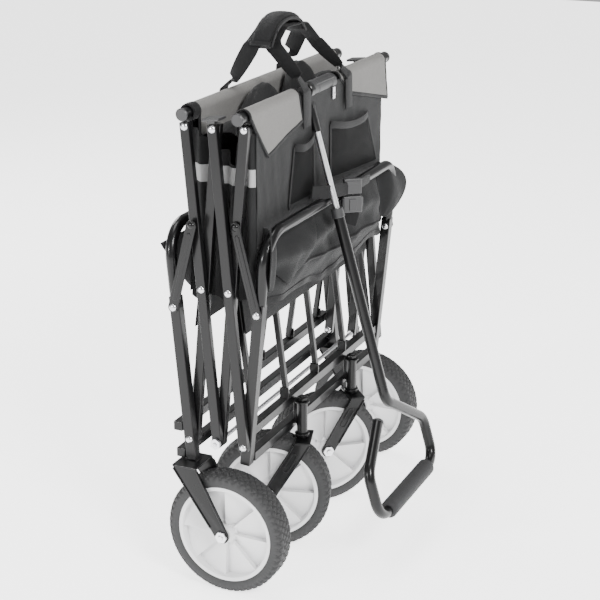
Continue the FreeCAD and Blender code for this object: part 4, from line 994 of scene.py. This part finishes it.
# ---------------------------------------------------------------- handle
def build_handle(look):
    along = handle_spot(0, 1) - handle_spot(0, 0)
    normal = along.cross(X_WAY)
    collar = lathe([(8.3, -6), (11, -6), (12, -5), (12, 5), (11, 6), (8.3, 6)], handle_spot(0, 0), X_WAY, 40)
    rod_line = [handle_spot(0, t) for t in (30, 40, 396, 400)]
    inner = sweep(rod_line, circle(4.6, 24), normal)
    dress(joined("handle_rod_look", [inner]), "handle_arm", "zinc_steel", look["zinc"], "handle_rod")
    neck = lathe([(0, 0), (6, 0), (6, 36), (5.6, 38), (4.7, 38.4), (0, 38.4)], handle_spot(0, 22), along, 32)
    collar_ear = bar(handle_spot(0, 6), handle_spot(0, 26), 9, 11.5, 0.0012)
    dress(joined("handle_collar_look", [collar, collar_ear, neck]), "handle_arm", "frame_paint",
          look["paint"])
    loop = [(0, 176), (0, 470), (113, 541), (113, 610), (-113, 610), (-113, 541), (-44, 489)]
    pipe = tube([handle_spot(*place) for place in loop], 8, [26] * 5, normal, 32, 14)
    mouth = lathe([(4.8, 0), (8.5, 0), (9.2, 0.8), (9.2, 13), (8.2, 14)], handle_spot(0, 174), along, 32)
    dress(joined("handle_tube_look", [pipe]), "handle_outer", "frame_paint", look["paint"], "handle_tube")
    away = (handle_spot(-44, 489) - handle_spot(-113, 541)).normalized()
    plug = lathe([(8.6, 0), (8.8, 0.8), (8.6, 3), (7.2, 4.2), (0, 4.4)], handle_spot(-44, 489), away, 32)
    dress(joined("handle_end_plug_look", [plug]), "handle_outer", "black_plastic", look["plastic"],
          "handle_end_plug")
    dress(joined("handle_mouth", [mouth]), "handle_outer", "black_plastic", look["plastic"])
    stops = [-82.5, -81.6, -79.5, -70, -35, 0, 35, 70, 79.5, 81.6, 82.5]
    grow = [0.72, 0.88, 0.99, 1.0, 0.995, 1.0, 0.995, 1.0, 0.99, 0.88, 0.72]
    foam = sweep([handle_spot(across, 610) for across in stops], circle(13, 40), normal, grow)
    dress(joined("handle_grip_look", [foam]), "handle_outer", "grip_foam", look["foam"], "handle_grip")
    sleeve = [lathe([(8.35, -39), (10.7, -39), (11.5, -38), (11.5, 38), (10.7, 39), (8.35, 39)],
                    spot(3.5, -HALF, RAIL_Z), X_WAY, 48)]
    for x in (-20, 27):
        sleeve.append(lathe([(11.4, -1.2), (12.1, -0.7), (12.1, 0.7), (11.4, 1.2)],
                            spot(x, -HALF, RAIL_Z), X_WAY, 48))
    slot_a, slot_b = spot(-30, -HALF - 9.2, RAIL_Z + 7.2), spot(37, -HALF - 9.2, RAIL_Z + 7.2)
    sleeve.append(bar(slot_a, slot_b, 1.4, 1.4, 0.0003, Y_WAY))
    dress(joined("pivot_sleeve_look", sleeve), "handle_sleeve", "grey_plastic", look["sleeve"],
          "handle_pivot_sleeve")
    ear = [bar(spot(26, -HALF - 13, RAIL_Z - 23), spot(26, -HALF - 13, RAIL_Z - 5), 8, 2.2, 0.0008)]
    ear.append(lathe([(0, 1.6), (1.6, 1.3), (2.4, 0.4), (2.4, 0)], spot(26, -HALF - 14, RAIL_Z - 16),
                     -Y_WAY, 20))
    dress(joined("rail_bracket_ear", ear), "front_rail", "zinc_steel", look["steel"])


# ---------------------------------------------------------------- fabric
def front_panel_y(x, z):
    """Y of the front panel: behind the bow above it, and bellied out through it below."""
    low = 1 - ease(z, 478, 520)
    middle = 1 - ease(np.abs(x), 165, 226)
    y = -50.6 - 17 * low * middle * (1 - 0.5 * (1 - ease(z, 412, 446)))
    y -= 9.0 * low * hill(x, z, (-190, 478), (60, 492), 16)
    y += 10.0 * low * hill(x, z, (-205, 462), (-150, 466), 14)
    y -= 7.0 * low * hill(x, z, (-120, 452), (210, 438), 12)
    y += 6.0 * low * hill(x, z, (-40, 468), (120, 462), 12)
    y -= 5.0 * low * hill(x, z, (80, 500), (200, 470), 14)
    y += 2.4 * low * ripple(x, z, 74, 0.7)
    high = ease(z, 512, 545) * (1 - ease(z, 655, 682))
    y += high * (1.5 * hill(x, z, (-196, 640), (-176, 540), 9) + 1.6 * hill(x, z, (-160, 630), (-148, 530), 8)
                 + 1.2 * hill(x, z, (-215, 620), (-205, 540), 7) + 0.5 * ripple(x, z, 60, 1.2))
    return np.minimum(y, -49.9)


def hem_wave(u):
    """Height of the front panel's uneven lower edge across its width."""
    return 5 * np.sin(u * 9.5) + 3 * np.sin(u * 23 + 1) - 6 * u


def build_front_panel(sizes, look):
    """Front panel with its hem, seam, loose flap and the two lobes past the bow's legs."""
    def shape(u, v):
        z = 414 + (686 - 414) * v + hem_wave(u) * (1 - ease(v, 0.0, 0.25))
        x = PANEL_X * (2 * u - 1)
        x = x * (1 - 0.012 * (1 - np.abs(2 * v - 1)))
        return x, front_panel_y(x, z), z
    panel = cloth("front_panel_cloth", shape, 150, 110, sizes.cloth_thick)
    dress(panel, "front_rail", "dark_fabric", look["cloth"], "front_panel")
    declare(panel)
    ride_up(panel, "front")

    def hem_shape(u, v):
        x = PANEL_X * (2 * u - 1)
        z = 412.5 + hem_wave(u) + 9 * v
        return x, front_panel_y(x, z) - 1.1 - 0.5 * np.sin(np.pi * v), z
    ride_up(dress(cloth("front_hem", hem_shape, 150, 4, sizes.cloth_thick), "front_rail", "webbing",
                  look["web"]), "front")

    def seam_shape(u, v):
        x = -222 + 444 * u
        z = 459 - 20 * u + 2 * np.sin(u * 11) + 3.2 * (v - 0.5)
        return x, front_panel_y(x, z) - 1.3 - 1.1 * np.sin(np.pi * v), z
    ride_up(dress(cloth("front_seam", seam_shape, 120, 4, sizes.cloth_thick), "front_rail", "webbing",
                  look["web"]), "front")

    def flap_shape(u, v):
        """Loose triangle of the panel's own fabric at its lower left."""
        x_top, z_top = -228 + 187 * u, 505 + 8 * u
        x = x_top + (-167 - x_top) * 0.93 * v
        z = z_top + (437 - z_top) * v
        out = 9 * np.sin(np.pi * v) ** 0.8 * np.sin(np.pi * np.clip(u, 0.02, 0.98)) ** 0.7 + 2.5 * v
        return x, front_panel_y(x, z) - 1.8 - out, z
    flap = cloth("front_flap", flap_shape, 60, 40, sizes.cloth_thick)
    dress(flap, "front_rail", "dark_fabric", look["cloth"])
    declare(flap)
    ride_up(flap, "front")
    for sign in SIDES:
        def ear(u, v, sign=sign):
            """Corner lobe that spreads past the bow's leg."""
            crown = np.sin(np.pi * np.clip(v, 0, 1))
            reach = (50 if sign > 0 else 22) * crown ** 0.8
            start = 200 if sign > 0 else 208
            x = sign * (start + (16 + reach) * u)
            z = 440 + 88 * v + (2 - 12 * u) * sign * 0.4
            y = -66 - 16 * crown ** 0.6 * (0.35 + 0.65 * u) + 2 * np.sin(7 * u + 4 * v)
            joins = ease(u, 0.0, 0.3)
            return x, (front_panel_y(x, z) - 1) * (1 - joins) + y * joins, z
        piece = cloth(f"front_ear_{SIDE_NAME[sign]}", ear, 24, 30, sizes.cloth_thick)
        dress(piece, "front_rail", "dark_fabric", look["cloth"])
        declare(piece)
        ride_up(piece, "front")


def build_rear_panel(sizes, look):
    """Rear panel and the two lobes at its lower corners."""
    def depth(x, z):
        low = 1 - ease(z, 486, 522)
        y = 50.6 + 16 * low * (1 - ease(np.abs(x), 150, 226)) + 2.2 * low * ripple(x, z, 80, 0.4)
        return y + 0.6 * ripple(x, z, 66, 1.0) * (1 - ease(z, 650, 682))

    def shape(u, v):
        x, z = PANEL_X * (2 * u - 1), 430 + (686 - 430) * v
        z = z + 4 * np.sin(u * 11) * (1 - ease(v, 0, 0.3))
        return x, np.maximum(depth(x, z), 50.0), z
    panel = cloth("rear_panel_cloth", shape, 120, 90, sizes.cloth_thick)
    dress(panel, "rear_rail", "dark_fabric", look["cloth"], "rear_panel")
    declare(panel)
    ride_up(panel, "rear")
    for sign in SIDES:
        def ear(u, v, sign=sign):
            inner = [a + (b - a) * v for a, b in ((172, 212), (58, 58), (398, 516))]
            outer = [a + (b - a) * v for a, b in ((184, 250 if sign < 0 else 238), (79, 84), (424, 500))]
            x, y, z = (a + (b - a) * u for a, b in zip(inner, outer))
            return sign * x, y + 5 * np.sin(np.pi * v) * np.sin(np.pi * u) + 1.5 * np.sin(9 * v), z
        piece = cloth(f"rear_ear_{SIDE_NAME[sign]}", ear, 24, 30, sizes.cloth_thick)
        dress(piece, "rear_rail", "dark_fabric", look["cloth"])
        declare(piece)
        ride_up(piece, "rear")


STRIPS = (
    ("side_strip_rear", 49, 24, "rear_rail", "rear_outer_arms", 41, 24),
    ("side_strip_rear_inner", 24, 8, "rear_outer_arms", "rear_inner_arms", 24, 8),
    ("side_strip_middle", 8, -8, "rear_inner_arms", "front_outer_arms", 8, -8),
    ("side_strip_front_inner", -8, -24, "front_outer_arms", "front_inner_arms", -8, -24),
    ("side_strip_front", -24, -49, "front_inner_arms", "front_rail", -24, -41),
)


def side_x(y, z):
    """Pleated side fabric: distance from the wagon's middle."""
    pleat = 0.5 + 0.5 * np.cos(2 * np.pi * (y + 6) / 24.5)
    return 228.5 - 9.0 * pleat * ease(z, 420, 470) - 1.5 * ripple(y * 2, z, 90, 0.3)


def side_top(y):
    """Top edge, dipped between crossed bars by an amount worked out from the angle they turn through on
    opening.
    """
    level = 660 - 26 * (1 - ease(np.abs(y), 6, 40))
    turn = OPEN_TURN * (2 * ease(np.abs(y), 8, 24) - 1)
    dipped = CROSS_Z + (level - CROSS_Z) * math.cos(OPEN_TURN) / np.cos(turn)
    return np.maximum(dipped, BAND_TOP)


def build_side_fabric(sizes, look):
    for name, y0, y1, a, b, start, end in STRIPS:
        halves, bands = [], []
        for sign in SIDES:
            def shape(u, v, sign=sign):
                y = y0 + (y1 - y0) * u
                hem = 424 + 5 * np.sin(y * 0.13)
                z = hem + (side_top(y) - hem) * v
                return sign * side_x(y, z), y, z
            halves.append(cloth(f"{name}_{SIDE_NAME[sign]}", shape, 20, 110, sizes.cloth_thick))

            def band(u, v, sign=sign):
                y = y0 + (y1 - y0) * u
                z = 588 + 24 * v
                return sign * (side_x(y, z) + 0.95), y, z
            bands.append(cloth(f"{name}_band_{SIDE_NAME[sign]}", band, 20, 12, 0.0006))
        flat, cut = FLATS[halves[0].name], CUT_AREAS[halves[0].name]
        piece = joined(name, halves)
        FLATS[name] = (flat[0] * 2, flat[1])
        replaced = {"rear_rail": ("rear_side_panels",), "front_inner_arms": ("front_side_panels",)}.get(a, ())
        blend = (a, b, spot(0, start, 500), spot(0, end, 500))
        dress(piece, blend, "dark_fabric", look["cloth"], *replaced)
        declare(piece, area=2 * cut)
        dress(joined(name + "_band", bands), blend, "webbing", look["band"])


def build_domes(sizes, look):
    """Slack fabric that stands up in humps between the rails."""
    def top(x):
        return (650 + 52 * np.exp(-((x + 98) / 40) ** 2) + 62 * np.exp(-((x - 30) / 34) ** 2)
                + 34 * np.exp(-((x - 112) / 46) ** 2) + 16 * np.exp(-((x + 190) / 34) ** 2))

    def shape(u, v):
        x = -218 + 436 * u
        z = 590 + (top(x) - 590) * np.sin(np.pi * v) ** 0.55
        y = 28 * np.cos(np.pi * v) + 5 * np.sin(x / 31) * np.sin(np.pi * v)
        x = x + 3 * np.sin(3 * np.pi * v + x / 40)
        return x, y, z + 1.2 * ripple(x, y * 3, 44, 0.5) * np.sin(np.pi * v)
    piece = cloth("slack_fabric", shape, 150, 40, sizes.cloth_thick)
    dress(piece, "rear_rail", "dark_fabric", look["cloth"])
    declare(piece)
    ride_up(piece, "rear", OPEN_SLACK, 590)


def build_floor_cloth(sizes, look):
    for end, sign in END_SIGN.items():
        foot_y = REAR_TUBE_Y if end == "rear" else -HALF
        way = np.array((FLOOR_Y - foot_y, FLOOR_RISE)) / FLOOR_LONG

        def shape(u, v):
            x = -222 + 444 * u
            along = 124 + 188 * v
            out = 6.6 + 3.5 * np.abs(np.sin(np.pi * (x + 216) / 108)) * np.sin(np.pi * v)
            return (x, foot_y + way[0] * along + sign * way[1] * out,
                    FLOOR_Z + way[1] * along - sign * way[0] * out)
        piece = cloth(f"{end}_floor_cloth", shape, 100, 30, sizes.cloth_thick)
        dress(piece, f"{end}_floor", "dark_fabric", look["cloth"], f"{end}_floor_panel")
        declare(piece)


def rail_sleeve(name, end, left, right, hang_in, hang_out, sizes, look, slant=(0, 0), flare=0):
    """Light sleeve over a rail: up from its inner side, over the top and down its outer side."""
    sign = END_SIGN[end]
    radius = 10.4

    def shape(u, v):
        x_top = left + (right - left) * u
        inner, outer = hang_in, hang_out[0] + (hang_out[1] - hang_out[0]) * u
        arc = math.pi * radius
        total = inner + arc + outer
        run = v * total
        angle = np.clip((run - inner) / radius, 0, math.pi)
        y = -radius * np.cos(angle)
        z = radius * np.sin(angle) - np.clip(inner - run, 0, None) - np.clip(run - inner - arc, 0, None)
        down = np.clip((run - inner - arc) / np.maximum(outer, 1), 0, 1)
        x = x_top + down * (slant[0] + (slant[1] - slant[0]) * u)
        y = y + 1.4 * down + flare * down ** 2 + 0.9 * down * np.sin(x / 17.0) + 0.25 * ripple(x, z, 40, 0.5)
        return x, sign * (HALF + y), RAIL_Z + z
    piece = cloth(name, shape, 90, 70, sizes.cloth_thick)
    dress(piece, f"{end}_rail", "dark_fabric", look["light"])
    declare(piece)
    trims = [sweep(along_cloth(shape, lambda t, u=u: u, lambda t: t, 60), flat_ring(4.6, 2.6), X_WAY)
             for u in (0.0, 1.0)]
    trims.append(sweep(along_cloth(shape, lambda t: t, lambda t: 1.0, 90), flat_ring(5.5, 2.6), Z_WAY))
    dress(joined(name + "_binding", trims), f"{end}_rail", "webbing", look["web"])


def build_sleeves(sizes, look):
    rail_sleeve("front_sleeve_left", "front", -243, -90, 24, (60, 34), sizes, look, (46, 6), 0.6)
    rail_sleeve("front_sleeve_right", "front", 56, 236, 24, (28, 60), sizes, look, (44, 6), 0.6)
    rail_sleeve("rear_sleeve", "rear", -230, 238, 34, (16, 16), sizes, look)
    ring = lathe([(9.4, -9), (11.8, -8.4), (12.2, 0), (11.8, 8.4), (9.4, 9)],
                 spot(-236, HALF, RAIL_Z), X_WAY, 40)
    dress(joined("rear_sleeve_ring", [ring]), "rear_rail", "webbing", look["web"])


def build_pockets(look):
    """Two mesh pockets with dark hems on the front panel."""
    places = {
        "narrow": ((-128, 536), (-40, 534), (-46, 624), (-110, 618)),
        "wide": ((19, 542), (204, 530), (160, 614), (17, 626)),
    }
    for kind, (low_left, low_right, top_right, top_left) in places.items():
        def base(u, v):
            low = [low_left[i] + (low_right[i] - low_left[i]) * u for i in (0, 1)]
            high = [top_left[i] + (top_right[i] - top_left[i]) * u for i in (0, 1)]
            x, z = (low[i] + (high[i] - low[i]) * v for i in (0, 1))
            belly = np.sin(np.pi * np.clip(u, 0, 1)) ** 0.7 * (0.25 + 0.75 * ease(v, 0, 0.5))
            dip = 7 * np.sin(np.pi * u) * v ** 3
            y = -52.6 - 7.0 * belly - 1.0 * np.sin(u * 9) * v
            return x, y, z - dip
        net = cloth(f"{kind}_pocket_net", base, 60, 50, 0.0007)
        replaced = ("mesh_pockets",) if kind == "wide" else ()
        dress(net, "front_rail", "mesh_fabric", look["net"], *replaced)
        declare(net)
        ride_up(net, "front")
        edges = (
            (lambda t: t, lambda t: 1.0, 11, 1.8, Z_WAY),
            (lambda t: t, lambda t: 0.0, 7, 1.6, Z_WAY),
            (lambda t: 0.0, lambda t: t, 5, 1.6, X_WAY),
            (lambda t: 1.0, lambda t: t, 5, 1.6, X_WAY),
        )
        hems = [sweep(along_cloth(base, u_of, v_of, 50, -0.5), flat_ring(wide, thick), side)
                for u_of, v_of, wide, thick, side in edges]
        ride_up(dress(joined(f"{kind}_pocket_hems", hems), "front_rail", "webbing", look["web"]), "front")


# ---------------------------------------------------------------- straps
def strap(points, bends, twist, sizes, wide=25):
    """Webbing through points; twist gives the shares of the line where it turns from X to Y and back."""
    line = rounded([spot(*point) for point in points], bends, 8)
    fine = []
    for a, b in zip(line, line[1:]):
        parts = max(1, int((b - a).length / 0.006))
        fine += [a.lerp(b, i / parts) for i in range(parts)]
    fine.append(line[-1])
    count = len(fine)
    sides = []
    for index in range(count):
        t = index / (count - 1)
        turn = float(ease(t, twist[0], twist[1])) - float(ease(t, twist[2], twist[3]))
        sides.append((X_WAY * (1 - turn) + Y_WAY * turn).normalized())
    return sweep(fine, flat_ring(wide, sizes.web_thick / MM), sides)


def build_straps(sizes, look):
    front = [(-72, -55.5, 640), (-74, -55.5, 690), (-80, -44, 712), (-92, -9, 758), (-60, -7, 776),
             (10, -7, 774), (50, -12, 742), (66, -46, 704), (77, -56, 688), (77, -57, 640)]
    rear = [(-114, 55, 650), (-114, 54, 694), (-112, 40, 708), (-108, 12, 756), (-66, 7, 782), (-4, 7, 782),
            (44, 10, 752), (60, 30, 722), (68, 52, 700), (68, 55, 650)]
    for end, points in (("front", front), ("rear", rear)):
        piece = strap(points, [8, 8, 14, 14, 20, 14, 12, 6], (0.1, 0.28, 0.72, 0.9), sizes)
        piece = dress(joined(f"{end}_carry_strap_look", [piece]), f"{end}_rail", "webbing", look["web"],
                      f"{end}_carry_strap")
        if end == "rear":
            ride_up(piece, end, OPEN_LOOP)


def build_wrap(look):
    """Padded wrap round both loops, arched over the hand and swollen by its stuffing."""
    middle = [(-106, 757), (-96, 771), (-80, 784), (-50, 789), (-20, 786), (-2, 776), (8, 764)]
    line = rounded([spot(x, 0, z) for x, z in middle], [60] * 5, 4)
    ring = []
    for step in range(36):
        angle = 2 * math.pi * step / 36
        c, s = math.cos(angle), math.sin(angle)
        ring.append((15.5 * abs(c) ** 0.6 * (1 if c > 0 else -1), 6.4 * abs(s) ** 0.6 * (1 if s > 0 else -1)))
    grow = [0.86] + [1.0] * (len(line) - 2) + [0.86]
    pad = joined("carry_wrap_look", [sweep(line, ring, Y_WAY, grow)])
    remesh = pad.modifiers.new("Remesh", "REMESH")
    remesh.mode = "VOXEL"
    remesh.voxel_size = 0.004
    press(pad)
    swell(pad, 0.005)
    subdivide = pad.modifiers.new("Fine", "SUBSURF")
    subdivide.levels = subdivide.render_levels = 1
    press(pad)
    only(pad)
    bpy.ops.object.shade_smooth()
    dress(pad, "front_rail", "webbing", look["pad"], "carry_wrap")
    trims = []
    for index in (0, -1):
        trims.append(sweep([line[index] + (line[1] - line[0]).normalized() * d * MM for d in (-2.5, 0, 2.5)],
                           [(x * 1.02, y * 1.04) for x, y in ring], Y_WAY))
    seam = [point + Vector((0, -0.0172, -0.002)) for point in line]
    trims.append(sweep(seam, flat_ring(5, 1.8), Z_WAY))
    dress(joined("carry_wrap_trim", trims), "front_rail", "webbing", look["web"])


def swell(obj, cap):
    """Inflates obj by cloth simulation; no point moves further than cap metres."""
    before = np.zeros(len(obj.data.vertices) * 3)
    obj.data.vertices.foreach_get("co", before)
    sim = obj.modifiers.new("Cloth", "CLOTH")
    sim.settings.use_pressure = True
    sim.settings.uniform_pressure_force = 4.0
    sim.settings.effector_weights.gravity = 0.0
    scene = bpy.context.scene
    for frame in range(1, 21):
        scene.frame_set(frame)
    press(obj)
    scene.frame_set(1)
    after = np.zeros_like(before)
    obj.data.vertices.foreach_get("co", after)
    moved = (after - before).reshape(-1, 3)
    length = np.linalg.norm(moved, axis=1, keepdims=True)
    moved = moved * np.minimum(1.0, cap / np.maximum(length, 1e-9))
    obj.data.vertices.foreach_set("co", (before.reshape(-1, 3) + moved).ravel())
    obj.data.update()


def build_tie(look):
    """Strap round the bow, its side-release buckle and the loose webbing end beside it."""
    bow_y = -69.93
    loop = sweep([spot(12, bow_y + 9.6 * math.cos(a), 525 + 9.6 * math.sin(a))
                  for a in np.linspace(0, 2 * math.pi, 33)], flat_ring(25, 1.8), X_WAY)
    turn = Matrix.Rotation(math.radians(-50), 4, "Z")
    across = turn.to_3x3() @ X_WAY
    tail = sweep(rounded([spot(9, -91, 506), spot(8.5, -91, 496), spot(4, -88, 482)], [14]),
                 flat_ring(25, 1.8), across)
    left = sweep(rounded([spot(-79, -66, 547), spot(-46, -81, 542), spot(2, -88, 536)], [40]),
                 flat_ring(19, 1.8), Z_WAY)
    right = sweep(rounded([spot(14, -89, 530), spot(48, -82, 529), spot(108, -79.6, 527)], [60]),
                  flat_ring(15, 1.8), Z_WAY)
    dress(joined("tie_strap_look", [loop, tail, left, right]), "front_frame", "webbing", look["web"],
          "tie_strap")
    buckle = (
        (0, 0, -29, -3, 30, 9.4, 0.0026),
        (0, 0, -1, 23, 28, 8.0, 0.0022),
        (-13.4, 0, -20, -5, 6, 7.8, 0.0022),
        (13.4, 0, -20, -5, 6, 7.8, 0.0022),
        (0, -4.8, -25, -8, 11, 1.8, 0.0007),
        (0, -4.2, 14, 19, 22, 1.6, 0.0006),
    )
    body = [bar(Vector((x, y, low)) * MM, Vector((x, y, high)) * MM, wide, deep, edge)
            for x, y, low, high, wide, deep, edge in buckle]
    for piece in body:
        piece.data.transform(Matrix.Translation(spot(9, -92, 528)) @ turn)
    dress(joined("tie_buckle_look", body), "front_frame", "black_plastic", look["plastic"], "tie_buckle")


# ---------------------------------------------------------------- stage
def build_stage():
    bpy.ops.mesh.primitive_plane_add(size=12, location=(0, 0, 0))
    floor = settle(bpy.context.active_object)
    floor.name = "studio_floor"
    shade = Shade("studio_floor")
    cloud = shade.noise(shade.place(), 0.8, 1.0)
    shade.set(Base_Color=shade.mix(cloud, (0.86, 0.86, 0.86, 1), (0.88, 0.88, 0.88, 1)), Roughness=0.9,
              Emission_Color=(1, 1, 1, 1), Emission_Strength=2.4)
    floor.data.materials.append(shade.material)
    world = bpy.data.worlds.new("studio")
    bpy.context.scene.world = world
    world.use_nodes = True
    world.node_tree.nodes["Background"].inputs[0].default_value = (1, 1, 1, 1)
    world.node_tree.nodes["Background"].inputs[1].default_value = 0.5
    lights = (
        ("key", (-1.6, -2.0, 2.3), 0.8, 120),
        ("fill", (1.8, -2.0, 1.2), 1.2, 22),
        ("top", (-0.2, 0.3, 2.8), 1.2, 40),
        ("back", (1.2, 2.0, 1.8), 0.9, 40),
        ("side", (-2.4, 1.2, 1.1), 0.4, 40),
    )
    for name, place, size, power in lights:
        bpy.ops.object.light_add(type="AREA", location=place)
        light = bpy.context.active_object
        light.name = f"light_{name}"
        light.data.size = size
        light.data.energy = power
        aim = Vector((0, 0, 0.4)) - Vector(place)
        light.rotation_mode = "QUATERNION"
        light.rotation_quaternion = aim.to_track_quat("-Z", "Y")
    bpy.ops.object.camera_add(location=spot(-1975.1, -904.3, 1099.8))
    camera = bpy.context.active_object
    camera.name = "camera"
    azimuth, height = math.radians(-65.228), math.radians(18.249)
    level = math.cos(height)
    back = Vector((math.sin(azimuth) * level, -math.cos(azimuth) * level, math.sin(height)))
    camera.rotation_mode = "QUATERNION"
    camera.rotation_quaternion = (-back).to_track_quat("-Z", "Y")
    camera.data.sensor_width = 36
    camera.data.lens = 90.58
    camera.data.shift_x = 0.0197
    camera.data.shift_y = -0.0328
    camera.data.clip_start = 0.05
    camera.data.clip_end = 60
    bpy.context.scene.camera = camera


# ---------------------------------------------------------------- operators
LOOK = {}


def finishes(context):
    if not LOOK:
        LOOK.update(make_finishes(context.scene.wagon_colours))
    return LOOK


class WagonFrame(bpy.types.Operator):
    """Square tubes, bows, rails, links and rivets"""
    bl_idname = "wagon.frame"
    bl_label = "Frame"

    def execute(self, context):
        sizes, look = context.scene.wagon_sizes, finishes(context)
        build_bars(sizes, look)
        build_bows(look)
        build_rivets(look)
        build_links(look)
        build_rails(look)
        return {"FINISHED"}


class WagonWheels(bpy.types.Operator):
    """Tyres, hubs, axle bolts and forks"""
    bl_idname = "wagon.wheels"
    bl_label = "Wheels"

    def execute(self, context):
        sizes, look = context.scene.wagon_sizes, finishes(context)
        build_wheels(sizes, look)
        build_forks(look)
        return {"FINISHED"}


class WagonHandle(bpy.types.Operator):
    """Telescopic handle with its grip and pivot sleeve"""
    bl_idname = "wagon.handle"
    bl_label = "Handle"

    def execute(self, context):
        build_handle(finishes(context))
        return {"FINISHED"}


class WagonPanels(bpy.types.Operator):
    """Front and rear panels"""
    bl_idname = "wagon.panels"
    bl_label = "End panels"

    def execute(self, context):
        sizes, look = context.scene.wagon_sizes, finishes(context)
        build_front_panel(sizes, look)
        build_rear_panel(sizes, look)
        return {"FINISHED"}


class WagonSides(bpy.types.Operator):
    """Pleated sides, slack humps and floor fabric"""
    bl_idname = "wagon.sides"
    bl_label = "Sides and floor"

    def execute(self, context):
        sizes, look = context.scene.wagon_sizes, finishes(context)
        build_side_fabric(sizes, look)
        build_domes(sizes, look)
        build_floor_cloth(sizes, look)
        return {"FINISHED"}


class WagonSleeves(bpy.types.Operator):
    """Light sleeves over the rails"""
    bl_idname = "wagon.sleeves"
    bl_label = "Rail sleeves"

    def execute(self, context):
        build_sleeves(context.scene.wagon_sizes, finishes(context))
        return {"FINISHED"}


class WagonPockets(bpy.types.Operator):
    """Mesh pockets"""
    bl_idname = "wagon.pockets"
    bl_label = "Pockets"

    def execute(self, context):
        build_pockets(finishes(context))
        return {"FINISHED"}


class WagonStraps(bpy.types.Operator):
    """Carry straps, their padded wrap and the tie strap"""
    bl_idname = "wagon.straps"
    bl_label = "Straps"

    def execute(self, context):
        sizes, look = context.scene.wagon_sizes, finishes(context)
        build_straps(sizes, look)
        build_wrap(look)
        build_tie(look)
        return {"FINISHED"}


class WagonStage(bpy.types.Operator):
    """Floor, lights and camera"""
    bl_idname = "wagon.stage"
    bl_label = "Stage"

    def execute(self, context):
        build_stage()
        return {"FINISHED"}


class WagonPanel(bpy.types.Panel):
    """Sidebar list of the wagon's pieces"""
    bl_idname = "VIEW3D_PT_wagon"
    bl_label = "Folding wagon"
    bl_space_type = "VIEW_3D"
    bl_region_type = "UI"
    bl_category = "Wagon"

    def draw(self, context):
        for operator in OPERATORS:
            self.layout.operator(operator.bl_idname)


OPERATORS = (WagonFrame, WagonWheels, WagonHandle, WagonPanels, WagonSides, WagonSleeves, WagonPockets,
             WagonStraps, WagonStage)
CLASSES = (WagonSizes, WagonColours) + OPERATORS + (WagonPanel,)


def register():
    for item in CLASSES:
        bpy.utils.register_class(item)
    bpy.types.Scene.wagon_sizes = PointerProperty(type=WagonSizes)
    bpy.types.Scene.wagon_colours = PointerProperty(type=WagonColours)


def unregister():
    del bpy.types.Scene.wagon_colours
    del bpy.types.Scene.wagon_sizes
    for item in reversed(CLASSES):
        bpy.utils.unregister_class(item)


def main():
    register()
    bpy.ops.wagon.frame()
    bpy.ops.wagon.wheels()
    bpy.ops.wagon.handle()
    bpy.ops.wagon.panels()
    bpy.ops.wagon.sides()
    bpy.ops.wagon.sleeves()
    bpy.ops.wagon.pockets()
    bpy.ops.wagon.straps()
    bpy.ops.wagon.stage()


if __name__ == "__main__":
    main()
